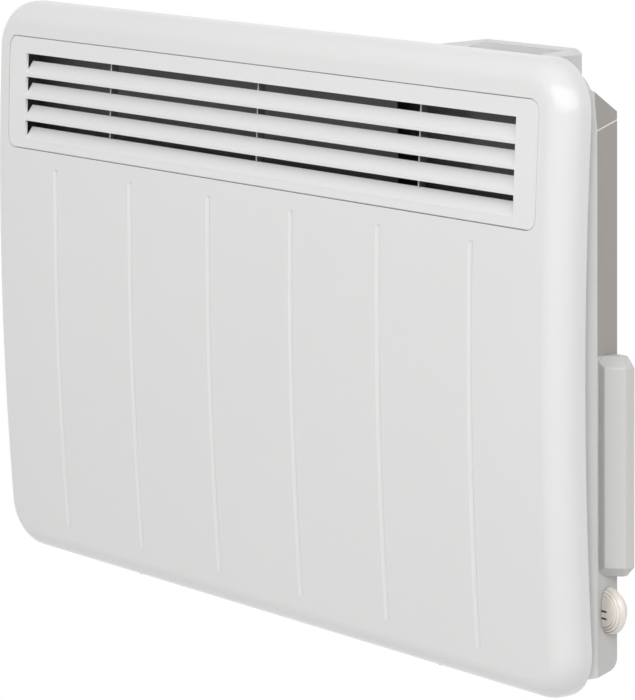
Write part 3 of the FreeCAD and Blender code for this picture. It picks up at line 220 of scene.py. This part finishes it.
def skinGroup():
    # paint or moulded skin: slow tone drift, fine peel in the height
    tree, start, end = newGroup("skin")
    look = effectLooks["skin"]
    coords = objectCoords(tree)
    drift = addNoise(tree, coords, start.outputs["Drift"], look["driftDetail"])
    peel = addNoise(tree, coords, start.outputs["Peel"], look["fineDetail"])
    return closeGroup(tree, start, end, drift, drift, peel)

def rolledGroup():
    # rolled or drawn metal: streaks along X and a little mottle
    tree, start, end = newGroup("rolled")
    look = effectLooks["rolled"]
    coords = objectCoords(tree)
    along = tree.nodes.new("ShaderNodeMapping")
    along.inputs["Scale"].default_value = look["stretch"]
    tree.links.new(coords, along.inputs["Vector"])
    drift = addNoise(tree, coords, start.outputs["Drift"], look["driftDetail"])
    streak = addNoise(tree, along.outputs[0], start.outputs["Streak"], look["fineDetail"])
    return closeGroup(tree, start, end, drift, streak, streak)

def spangleGroup():
    # galvanised sheet: flat crystals of slightly different grey
    tree, start, end = newGroup("spangle")
    coords = objectCoords(tree)
    cell = tree.nodes.new("ShaderNodeTexVoronoi")
    tree.links.new(coords, cell.inputs["Vector"])
    tree.links.new(start.outputs["Crystal"], cell.inputs["Scale"])
    gray = tree.nodes.new("ShaderNodeRGBToBW")
    tree.links.new(cell.outputs["Color"], gray.inputs[0])
    drift = addNoise(tree, coords, start.outputs["Drift"], effectLooks["spangle"]["driftDetail"])
    return closeGroup(tree, start, end, gray.outputs[0], gray.outputs[0], drift)

effects = {"skin": skinGroup(), "rolled": rolledGroup(), "spangle": spangleGroup()}
print("surface effects built")

# finishes: tones are linear colours, drift and fine are pattern scales per metre
finishes = {
    "whiteEnamel": {"effect": "skin", "tone": (0.80, 0.80, 0.795), "toneTwo": (0.775, 0.775, 0.77),
                    "drift": 6, "fine": 700, "rough": (0.26, 0.32), "bump": 0.02, "specular": 0.15,
                    "coat": 0.6, "coatRough": 0.03},
    "grilleEnamel": {"effect": "skin", "tone": (0.82, 0.82, 0.815), "toneTwo": (0.80, 0.80, 0.795),
                     "drift": 9, "fine": 900, "rough": (0.32, 0.38), "bump": 0.02, "coat": 0.25,
                     "coatRough": 0.2},
    # the casing's and hood's paint: a darker, warmer copy of the white enamel, painted shade for the shade
    # on the casing's sides and hood
    "shadedCasingEnamel": {"effect": "skin", "tone": (0.378, 0.358, 0.332), "toneTwo": (0.358, 0.339, 0.313),
                     "drift": 7, "fine": 800, "rough": (0.34, 0.42), "bump": 0.02, "coat": 0.3,
                     "coatRough": 0.2},
    "coverPlastic": {"effect": "skin", "tone": (0.66, 0.66, 0.652), "toneTwo": (0.635, 0.635, 0.627),
                     "drift": 10, "fine": 1200, "rough": (0.36, 0.44), "bump": 0.04, "specular": 0.4},
    # a mid grey, painted light on the casing's lower right side and painted shade on the grille webs' front
    # edges
    "paintedLightShadeGrey": {"effect": "skin", "tone": (0.60, 0.60, 0.59), "toneTwo": (0.575, 0.575, 0.565),
                    "drift": 11, "fine": 1200, "rough": (0.36, 0.44), "bump": 0.04, "specular": 0.4},
    "podPlastic": {"effect": "skin", "tone": (0.71, 0.706, 0.706), "toneTwo": (0.68, 0.676, 0.676),
                   "drift": 14, "fine": 1400, "rough": (0.34, 0.44), "bump": 0.05, "subsurface": 0.06},
    "creamPlastic": {"effect": "skin", "tone": (0.88, 0.835, 0.775), "toneTwo": (0.85, 0.80, 0.735),
                     "drift": 30, "fine": 1600, "rough": (0.36, 0.45), "bump": 0.04, "subsurface": 0.08},
    # a darker cream, painted shade in the knob's grooves
    "creamPaintedShade": {"effect": "skin", "tone": (0.60, 0.51, 0.42), "toneTwo": (0.54, 0.45, 0.37),
                   "drift": 60, "fine": 1600, "rough": (0.45, 0.55), "bump": 0.04},
    "galvanised": {"effect": "spangle", "tone": (0.50, 0.51, 0.52), "toneTwo": (0.62, 0.63, 0.64),
                   "drift": 300, "fine": 120, "rough": (0.34, 0.5), "bump": 0.03, "metal": 1.0},
    # dark sheet for the duct, and also painted shade on the casing's inside, the bezel gap's walls and the
    # grille webs' flanks
    "paintedShadeAndDarkSheet": {"effect": "skin", "tone": (0.14, 0.14, 0.142), "toneTwo": (0.165, 0.165, 0.167),
                  "drift": 12, "fine": 900, "rough": (0.5, 0.62), "bump": 0.05},
    "zinc": {"effect": "rolled", "tone": (0.66, 0.66, 0.65), "toneTwo": (0.58, 0.58, 0.57),
             "drift": 160, "fine": 2500, "rough": (0.24, 0.36), "bump": 0.02, "metal": 1.0},
    "screwSteel": {"effect": "rolled", "tone": (0.17, 0.17, 0.172), "toneTwo": (0.13, 0.13, 0.132),
                   "drift": 160, "fine": 2500, "rough": (0.3, 0.42), "bump": 0.02, "metal": 1.0},
    "elementAlloy": {"effect": "rolled", "tone": (0.74, 0.75, 0.76), "toneTwo": (0.62, 0.63, 0.65),
                     "drift": 60, "fine": 1800, "rough": (0.3, 0.45), "bump": 0.04, "metal": 1.0},
    "ceramic": {"effect": "skin", "tone": (0.84, 0.80, 0.70), "toneTwo": (0.76, 0.71, 0.61),
                "drift": 400, "fine": 1500, "rough": (0.5, 0.7), "bump": 0.08},
    "switchPlastic": {"effect": "skin", "tone": (0.020, 0.020, 0.021), "toneTwo": (0.032, 0.032, 0.033),
                      "drift": 60, "fine": 1800, "rough": (0.42, 0.55), "bump": 0.06},
    "blockPlastic": {"effect": "skin", "tone": (0.78, 0.76, 0.69), "toneTwo": (0.72, 0.70, 0.63),
                     "drift": 50, "fine": 1500, "rough": (0.4, 0.5), "bump": 0.04, "subsurface": 0.1},
    "bushRubber": {"effect": "skin", "tone": (0.018, 0.018, 0.018), "toneTwo": (0.028, 0.028, 0.028),
                   "drift": 90, "fine": 2200, "rough": (0.6, 0.78), "bump": 0.1},
    "brass": {"effect": "rolled", "tone": (0.78, 0.58, 0.24), "toneTwo": (0.66, 0.47, 0.18),
              "drift": 200, "fine": 2400, "rough": (0.24, 0.4), "bump": 0.03, "metal": 1.0},
}
# shader sockets that a finish may set, each with its usual value
shaderNumbers = {"metal": ("Metallic", 0.0), "specular": ("Specular IOR Level", 0.5),
                 "coat": ("Coat Weight", 0.0), "coatRough": ("Coat Roughness", 0.1),
                 "subsurface": ("Subsurface Weight", 0.0)}
depths = {"bump": 0.0002, "scatter": 0.002}

def makeFinish(name):
    look = finishes[name]
    mat = bpy.data.materials.new(name)
    mat.use_nodes = True
    tree = mat.node_tree
    shader = tree.nodes["Principled BSDF"]
    effect = tree.nodes.new("ShaderNodeGroup")
    effect.node_tree = effects[look["effect"]]
    effect.inputs["Tone"].default_value = (*look["tone"], 1)
    effect.inputs["Tone Two"].default_value = (*look["toneTwo"], 1)
    effect.inputs["Drift"].default_value = look["drift"]
    effect.inputs[effectLooks[look["effect"]]["fine"]].default_value = look["fine"]
    effect.inputs["Rough Low"].default_value = look["rough"][0]
    effect.inputs["Rough High"].default_value = look["rough"][1]
    tree.links.new(effect.outputs["Color"], shader.inputs["Base Color"])
    tree.links.new(effect.outputs["Roughness"], shader.inputs["Roughness"])
    bump = tree.nodes.new("ShaderNodeBump")
    bump.inputs["Strength"].default_value = look["bump"]
    bump.inputs["Distance"].default_value = depths["bump"]
    tree.links.new(effect.outputs["Height"], bump.inputs["Height"])
    tree.links.new(bump.outputs[0], shader.inputs["Normal"])
    for key, (socket, usual) in shaderNumbers.items():
        shader.inputs[socket].default_value = look.get(key, usual)
    shader.inputs["Subsurface Scale"].default_value = depths["scatter"]
    return mat

# two printed index lines on the knob's front flank
ticks = {"finish": "creamPlastic", "levels": (-0.1528, -0.1577), "half": 0.0006, "farX": 0.3372,
         "frontY": -0.0362, "ink": (0.012, 0.012, 0.012, 1)}

def printTicks(mat):
    tree = mat.node_tree
    shader = tree.nodes["Principled BSDF"]
    plain = shader.inputs["Base Color"].links[0].from_socket
    axes = tree.nodes.new("ShaderNodeSeparateXYZ")
    tree.links.new(objectCoords(tree), axes.inputs[0])
    lines = [mathNode(tree, "COMPARE", axes.outputs["Z"], level, ticks["half"]) for level in ticks["levels"]]
    mask = mathNode(tree, "MAXIMUM", *lines)
    for axis, limit in (("X", ticks["farX"]), ("Y", ticks["frontY"])):
        mask = mathNode(tree, "MULTIPLY", mask, mathNode(tree, "LESS_THAN", axes.outputs[axis], limit))
    tree.links.new(blendColors(tree, mask, plain, ticks["ink"]), shader.inputs["Base Color"])

materials = {name: makeFinish(name) for name in finishes}
printTicks(materials[ticks["finish"]])
print("finishes made", len(materials))

# each CAD node gets its slot's finish, apart from those with a finish of their own
slotFinish = {"white_paint": "whiteEnamel", "white_plastic": "grilleEnamel", "pod_plastic": "podPlastic",
              "cream_plastic": "creamPlastic", "galvanised": "galvanised", "dark_sheet": "paintedShadeAndDarkSheet",
              "zinc": "zinc", "element_alloy": "elementAlloy", "ceramic": "ceramic",
              "switch_plastic": "switchPlastic", "block_plastic": "blockPlastic",
              "bush_rubber": "bushRubber", "brass": "brass"}
# the casing and hood take the shaded copy of the white enamel: painted shade
ownFinish = {"rear_casing": "shadedCasingEnamel", "casing_hood": "shadedCasingEnamel", "side_cover": "coverPlastic",
             "panel_screws": "screwSteel"}
nodeSlot = {part["node"]: part["material_slot"] for part in frame["record"]["subparts"]}

def paint(obj, finish):
    obj.data.materials.clear()
    obj.data.materials.append(materials[finish])

def addFinish(obj, finish):
    # the slot number of a further finish on the piece
    mat = materials[finish]
    if mat.name not in obj.data.materials:
        obj.data.materials.append(mat)
    return obj.data.materials.find(mat.name)

for node, obj in nodes.items():
    paint(obj, ownFinish.get(node, slotFinish[nodeSlot[node]]))
print("CAD nodes painted")

# modelling helpers
meshCare = {"merge": 0.000002, "flatAngle": 0.05, "edgeSteps": 2}
facing = 0.5  # a face points along an axis when its normal has more than this of it

def pickOnly(obj):
    bpy.ops.object.select_all(action="DESELECT")
    obj.select_set(True)
    bpy.context.view_layer.objects.active = obj

def selectPoints(obj, wanted):
    pickOnly(obj)
    bpy.ops.object.mode_set(mode="EDIT")
    bpy.ops.mesh.select_mode(type="VERT")
    bpy.ops.mesh.select_all(action="DESELECT")
    bpy.ops.object.mode_set(mode="OBJECT")
    for point in obj.data.vertices:
        point.select = wanted(point.co)
    bpy.ops.object.mode_set(mode="EDIT")

def movePoints(obj, wanted, move, sharp=False):
    selectPoints(obj, wanted)
    bpy.ops.transform.translate(value=move)
    if sharp:
        bpy.ops.mesh.mark_sharp()
    bpy.ops.object.mode_set(mode="OBJECT")

def selectOpenEdges():
    bpy.ops.mesh.select_mode(type="EDGE")
    bpy.ops.mesh.select_all(action="DESELECT")
    bpy.ops.mesh.select_non_manifold()

def extrudeAlong(places):
    for last, point in zip(places, places[1:]):
        bpy.ops.mesh.extrude_region_move(TRANSFORM_OT_translate={"value": point - last})

def turnOutwards():
    bpy.ops.mesh.select_all(action="SELECT")
    bpy.ops.mesh.normals_make_consistent(inside=False)
    bpy.ops.object.mode_set(mode="OBJECT")

def applyBoolean(obj, cutter):
    pickOnly(obj)
    cut = obj.modifiers.new("cut", "BOOLEAN")
    cut.operation = "DIFFERENCE"
    cut.solver = "EXACT"
    cut.object = cutter
    bpy.ops.object.modifier_apply(modifier=cut.name)
    bpy.data.objects.remove(cutter)

def smoothPiece(obj, angle):
    pickOnly(obj)
    bpy.ops.object.shade_smooth_by_angle(angle=math.radians(angle))
    even = obj.modifiers.new("evenNormals", "WEIGHTED_NORMAL")
    even.keep_sharp = True
    bpy.ops.object.modifier_apply(modifier=even.name)

def easeEdges(obj, piece):
    pickOnly(obj)
    bevel = obj.modifiers.new("easedEdge", "BEVEL")
    bevel.width = piece["edge"]
    bevel.segments = meshCare["edgeSteps"]
    bevel.limit_method = "ANGLE"
    bevel.angle_limit = math.radians(piece["angle"])
    bevel.use_clamp_overlap = True
    bpy.ops.object.modifier_apply(modifier=bevel.name)
    smoothPiece(obj, piece["angle"])

def bodyOf(node):
    bodies = frame["record"]["behaviour"]["bodies"]
    return next(body for body, members in bodies.items() if node in members)

def standFor(obj, node):
    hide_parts(node)
    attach(obj, bodyOf(node))

def finishTrim(obj, piece):
    paint(obj, "whiteEnamel")
    easeEdges(obj, piece)
    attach(obj, "heater")

# the casing's front edges, which the rim, the hem and the hood's corners share
casing = {"side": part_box("casing_hood")[1][0], "front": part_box("casing_hood")[0][1], "bevel": 0.008}
casing["corner"] = casing["front"] + casing["bevel"]

# the casing's front rim: rounded like the panel, bevelled, standing above the sloping hood
rim = {"halfHeight": 0.2065, "corner": 0.0305, "steps": 10, "width": 0.009, "foot": 0.166, "inside": 0.0002,
       "podRoom": 0.0004, "podDepth": 0.02, "edge": 0.0004, "angle": 30}

def roundedPlate():
    # upright plate with rounded corners and a bevelled front, left in edit mode with that front selected
    bpy.ops.object.select_all(action="DESELECT")
    bpy.ops.mesh.primitive_plane_add(size=2, location=(0, casing["corner"], 0), rotation=(math.pi / 2, 0, 0))
    obj = bpy.context.active_object
    obj.scale = (casing["side"] - rim["inside"], rim["halfHeight"] - rim["inside"], 1)
    bpy.ops.object.transform_apply(location=True, rotation=True, scale=True)
    bpy.ops.object.mode_set(mode="EDIT")
    bpy.ops.mesh.select_mode(type="VERT")
    bpy.ops.mesh.select_all(action="SELECT")
    bpy.ops.mesh.bevel(affect="VERTICES", offset=rim["corner"], segments=rim["steps"])
    bpy.ops.mesh.select_all(action="SELECT")
    bpy.ops.mesh.inset(thickness=casing["bevel"], depth=casing["bevel"])
    return obj

def podTool():
    low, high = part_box("pod_housing")
    middle = [(high[i] + low[i]) / 2 for i in range(3)]
    size = [high[i] - low[i] + 2 * rim["podRoom"] for i in range(3)]
    bpy.ops.mesh.primitive_cube_add(size=1, location=middle)
    obj = bpy.context.active_object
    obj.scale = (size[0], size[1] + rim["podDepth"], size[2])
    bpy.ops.object.transform_apply(location=True, rotation=True, scale=True)
    return obj

def makeRim():
    obj = roundedPlate()
    obj.name = "casing_rim"
    bpy.ops.mesh.inset(thickness=rim["width"], depth=0)
    bpy.ops.mesh.delete(type="FACE")
    selectOpenEdges()
    bpy.ops.mesh.bridge_edge_loops()
    bpy.ops.mesh.select_all(action="SELECT")
    bpy.ops.mesh.bisect(plane_co=(0, 0, rim["foot"]), plane_no=(0, 0, 1), use_fill=True, clear_inner=True)
    turnOutwards()
    applyBoolean(obj, podTool())
    finishTrim(obj, rim)

makeRim()
print("casing rim made")

# the hood's lower edge is hemmed outwards along the seam, and the hem catches the light
hem = {"back": -0.0262, "frontZ": 0.1644, "rise": 0.0087, "depth": 0.0252, "sunk": 0.0003, "proud": 0.00045,
       "height": 0.0011, "edge": 0.0003, "angle": 30}

def hemPlace(x, y):
    return Vector((x, y, hem["frontZ"] + (y - casing["front"]) / hem["depth"] * hem["rise"]))

def makeHem():
    middle = casing["side"] + (hem["proud"] - hem["sunk"]) / 2
    places = [hemPlace(middle, hem["back"]), hemPlace(middle, casing["corner"]),
              hemPlace(middle - casing["bevel"], casing["front"])]
    bpy.ops.object.select_all(action="DESELECT")
    bpy.ops.mesh.primitive_plane_add(size=1, location=places[0], rotation=(math.pi / 2, 0, 0))
    obj = bpy.context.active_object
    obj.name = "hood_hem"
    obj.scale = (hem["proud"] + hem["sunk"], hem["height"], 1)
    bpy.ops.object.transform_apply(location=True, rotation=True, scale=True)
    bpy.ops.object.mode_set(mode="EDIT")
    bpy.ops.mesh.select_mode(type="FACE")
    bpy.ops.mesh.select_all(action="SELECT")
    extrudeAlong(places)
    turnOutwards()
    mirror = obj.modifiers.new("leftSide", "MIRROR")
    bpy.ops.object.modifier_apply(modifier=mirror.name)
    bpy.ops.object.mode_set(mode="EDIT")
    turnOutwards()
    finishTrim(obj, hem)

makeHem()
print("hood hem made")

# the bevel of the hood's front corners runs out towards the top, where the rim rounds off
hoodCorner = {"near": 0.0006, "above": 0.185, "narrower": 0.0026, "lift": 0.0019}

def narrowCorners(obj):
    def above(co, x, y):
        beside = abs(co.x - x) < hoodCorner["near"] and abs(co.y - y) < hoodCorner["near"]
        return beside and co.z > hoodCorner["above"]

    for side in (1, -1):
        rearX, frontX = side * casing["side"], side * (casing["side"] - casing["bevel"])
        movePoints(obj, lambda co: above(co, rearX, casing["corner"]),
                   (0, -hoodCorner["narrower"], hoodCorner["lift"]))
        movePoints(obj, lambda co: above(co, frontX, casing["front"]), (side * hoodCorner["narrower"], 0, 0))

# the casing's edge that faces the panel has the panel's enamel, and the inside behind it is painted dark:
# painted shade for the shade inside the casing
casingFront = {"lap": 0.001}

def paintWhiteFrontShadeInside(obj):
    white, dark = addFinish(obj, "whiteEnamel"), addFinish(obj, "paintedShadeAndDarkSheet")
    for face in obj.data.polygons:
        if face.normal.y < -facing:
            face.material_index = white if face.center.y < casing["corner"] + casingFront["lap"] else dark

# below the wiring cover's top the casing's right side is painted a lighter grey than above it: painted
# light, for the brighter lower side
lowSide = {"near": 0.001}

def paintLightOnLowSide(obj):
    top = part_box("side_cover")[1][2]
    selectPoints(obj, lambda co: True)
    bpy.ops.mesh.bisect(plane_co=(0, 0, top), plane_no=(0, 0, 1))
    bpy.ops.object.mode_set(mode="OBJECT")
    paintedLightIndex = addFinish(obj, "paintedLightShadeGrey")
    for face in obj.data.polygons:
        outer = face.normal.x > facing and face.center.x > casing["side"] - lowSide["near"]
        if outer and face.center.z < top:
            face.material_index = paintedLightIndex

# the panel's flutes are pressed as open vees
flutes = {"count": 6, "fromSide": 0.0906, "mouth": 0.0024, "foot": 0.0010, "wider": 0.0003,
          "narrower": 0.0009, "deeper": 0.0003, "near": 0.00006, "top": 0.11}

def openFlutes(obj):
    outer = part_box("front_panel")[1][0] - flutes["fromSide"]
    step = 2 * outer / (flutes["count"] - 1)
    lines = [step * i - outer for i in range(flutes["count"])]

    def onLine(co, offset):
        return co.z < flutes["top"] and min(abs(co.x - x - offset) for x in lines) < flutes["near"]

    for side in (1, -1):
        movePoints(obj, lambda co: onLine(co, side * flutes["mouth"]),
                   (side * flutes["wider"], 0, 0), sharp=True)
        movePoints(obj, lambda co: onLine(co, side * flutes["foot"]),
                   (-side * flutes["narrower"], flutes["deeper"], 0), sharp=True)

# the gap between the grille's bezel and the panel's opening reads as a dark line above and below: its top
# and bottom walls are painted dark, painted shade for the shade in the gap
bezel = {"lip": 0.0054, "corner": 0.0086, "gap": 0.0004, "shrink": 0.0003, "near": 0.00008, "level": 0.99}
grilleLow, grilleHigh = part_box("outlet_grille")
bezel["half"] = grilleHigh[0] - bezel["lip"]
bezel["middle"] = (grilleHigh[2] + grilleLow[2]) / 2
bezel["halfTall"] = (grilleHigh[2] - grilleLow[2]) / 2 - bezel["lip"]

def outlineDistance(co, grow):
    # how far a point lies outside the bezel's rounded outline, seen from the front
    radius = bezel["corner"] + grow
    across = abs(co.x) - bezel["half"] - grow + radius
    up = abs(co.z - bezel["middle"]) - bezel["halfTall"] - grow + radius
    return math.hypot(max(across, 0), max(up, 0)) + min(max(across, up), 0) - radius

def paintGapShade(obj, grow):
    dark = addFinish(obj, "paintedShadeAndDarkSheet")
    for face in obj.data.polygons:
        wall = abs(outlineDistance(face.center, grow)) < 2 * bezel["near"]
        straight = abs(face.center.x) < bezel["half"] - bezel["corner"]
        if wall and straight and abs(face.normal.z) > bezel["level"]:
            face.material_index = dark

def paintOpeningShade(obj):
    paintGapShade(obj, bezel["gap"])

# the bezel's outline is drawn in a little, and its own top and bottom walls get the same painted shade
def narrowBezel(obj):
    selectPoints(obj, lambda co: abs(outlineDistance(co, 0)) < bezel["near"])
    less = (1 - bezel["shrink"] / bezel["half"], 1, 1 - bezel["shrink"] / bezel["halfTall"])
    bpy.ops.transform.resize(value=less, center_override=(0, 0, bezel["middle"]))
    bpy.ops.object.mode_set(mode="OBJECT")
    paintGapShade(obj, -bezel["shrink"])

# the webs' flanks lie in the dark duct behind the blades and are painted dark, their front edges lie in the
# blades' shade and are painted grey: both painted shade
webs = {"places": (-0.185, 0, 0.185), "half": 0.0009, "reach": 0.245, "behind": -0.0735, "flank": 0.9}

def paintShadeOnWebs(obj):
    dark, shaded = addFinish(obj, "paintedShadeAndDarkSheet"), addFinish(obj, "paintedLightShadeGrey")
    for face in obj.data.polygons:
        corners = [obj.data.vertices[i].co.x for i in face.vertices]
        offset = max(min(abs(x - place) for place in webs["places"]) for x in corners)
        if face.normal.y < -facing and offset < webs["half"]:
            face.material_index = shaded
        within = abs(face.center.x) < webs["reach"] and face.center.y > webs["behind"]
        if within and abs(face.normal.x) > webs["flank"]:
            face.material_index = dark

# pressed and moulded pieces: a copy of the CAD shape, reworked, with its edges eased and its curves smooth
easedPieces = {
    "front_panel": {"edge": 0.0002, "angle": 30, "rework": (openFlutes, paintOpeningShade)},
    "outlet_grille": {"edge": 0.0004, "angle": 30, "rework": (paintShadeOnWebs, narrowBezel)},
    "rear_casing": {"edge": 0.0003, "angle": 30, "rework": (paintWhiteFrontShadeInside, paintLightOnLowSide)},
    "casing_hood": {"edge": 0.0003, "angle": 30, "rework": (narrowCorners, paintWhiteFrontShadeInside)},
    "pod_housing": {"edge": 0.0007, "angle": 30},
    "pod_cover": {"edge": 0.0005, "angle": 30},
    "side_cover": {"edge": 0.0007, "angle": 30},
    "panel_brackets": {"edge": 0.0003, "angle": 30},
    "panel_screws": {"edge": 0.0002, "angle": 40},
    "wall_bracket": {"edge": 0.0004, "angle": 30},
}

def copyNode(node):
    pickOnly(nodes[node])
    bpy.ops.object.duplicate()
    obj = bpy.context.active_object
    obj.name = node + "_eased"
    obj.parent = None
    for key in ("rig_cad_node", "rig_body"):  # the copy is a piece, no longer the CAD node
        if key in obj:
            del obj[key]
    bpy.ops.object.mode_set(mode="EDIT")
    bpy.ops.mesh.select_all(action="SELECT")
    bpy.ops.mesh.remove_doubles(threshold=meshCare["merge"])
    bpy.ops.mesh.dissolve_limited(angle_limit=math.radians(meshCare["flatAngle"]))
    bpy.ops.object.mode_set(mode="OBJECT")
    return obj

for node, piece in easedPieces.items():
    obj = copyNode(node)
    for rework in piece.get("rework", ()):
        rework(obj)
    easeEdges(obj, piece)
    standFor(obj, node)
print("eased pieces", len(easedPieces))

# knob: half a lens with stepped ridges on its flanks
# its section is in shares of the half width and of the radius, its grooves in shares of the radius
knob = {"half": 0.0075, "radius": 0.016, "steps": 48, "angle": 32, "seed": 0.001, "merge": 0.000005,
        "well": 0.0057, "wellDeep": 0.0027, "bore": 0.0022, "boreDeep": 0.0092, "boreSteps": 32,
        "section": [(-1, 0), (-0.98, 0.34), (-0.90, 0.60), (-0.87, 0.64), (-0.77, 0.655), (-0.83, 0.69),
                    (-0.76, 0.755), (-0.64, 0.77), (-0.70, 0.805), (-0.58, 0.87), (-0.45, 0.885),
                    (-0.50, 0.91), (-0.32, 0.96), (-0.05, 1), (0.06, 0.99), (0.45, 0.82), (0.9, 0.6),
                    (0.9, 0)],
        "grooves": [(0.66, 0.69), (0.775, 0.805), (0.885, 0.91)]}
hinge = frame["joints"][0]["pos_m"]
knob["centre"] = (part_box("thermostat_knob")[0][0], hinge[1], hinge[2])  # on its flat back

def deepen(obj, radius, deep):
    # a tool starts as deep as its radius, on either side of the knob's back, and gets its own depth here
    bpy.ops.object.transform_apply(location=True, rotation=True, scale=True)
    bpy.ops.object.mode_set(mode="EDIT")
    bpy.ops.mesh.select_all(action="SELECT")
    bpy.ops.transform.resize(value=(deep / radius, 1, 1), center_override=knob["centre"])
    bpy.ops.object.mode_set(mode="OBJECT")
    return obj

def wellTool():
    bpy.ops.mesh.primitive_cube_add(size=2 * knob["well"], location=knob["centre"])
    return deepen(bpy.context.active_object, knob["well"], knob["wellDeep"])

def boreTool():
    bpy.ops.mesh.primitive_cylinder_add(vertices=knob["boreSteps"], radius=knob["bore"],
                                        depth=2 * knob["bore"], location=knob["centre"],
                                        rotation=(0, math.pi / 2, 0))
    return deepen(bpy.context.active_object, knob["bore"], knob["boreDeep"])

# painted shade: the groove faces on the knob's front get the darker cream
def paintShadeInGrooves(obj):
    shade = addFinish(obj, "creamPaintedShade")
    x, y, z = knob["centre"]
    for face in obj.data.polygons:
        out = math.hypot(face.center.x - x, face.center.z - z) / knob["radius"]
        if face.center.y < y and any(low < out < high for low, high in knob["grooves"]):
            face.material_index = shade

def makeKnob():
    x, y, z = knob["centre"]
    places = [Vector((x, y + across * knob["half"], z + out * knob["radius"]))
              for across, out in knob["section"]]
    bpy.ops.object.select_all(action="DESELECT")
    bpy.ops.mesh.primitive_plane_add(size=knob["seed"], location=places[0])
    obj = bpy.context.active_object
    obj.name = "thermostat_knob_ridged"
    bpy.ops.object.transform_apply(location=True, rotation=True, scale=True)
    bpy.ops.object.mode_set(mode="EDIT")
    bpy.ops.mesh.select_mode(type="VERT")
    bpy.ops.mesh.select_all(action="SELECT")
    bpy.ops.mesh.merge(type="CENTER")
    extrudeAlong(places)
    bpy.ops.mesh.select_all(action="SELECT")
    bpy.ops.mesh.spin(steps=knob["steps"], angle=-math.pi, center=knob["centre"], axis=(0, 1, 0))
    bpy.ops.mesh.select_all(action="SELECT")
    bpy.ops.mesh.remove_doubles(threshold=knob["merge"])
    selectOpenEdges()
    bpy.ops.mesh.edge_face_add()
    turnOutwards()
    applyBoolean(obj, wellTool())
    applyBoolean(obj, boreTool())
    paint(obj, "creamPlastic")
    paintShadeInGrooves(obj)
    smoothPiece(obj, knob["angle"])
    standFor(obj, "thermostat_knob")

makeKnob()
print("knob made")
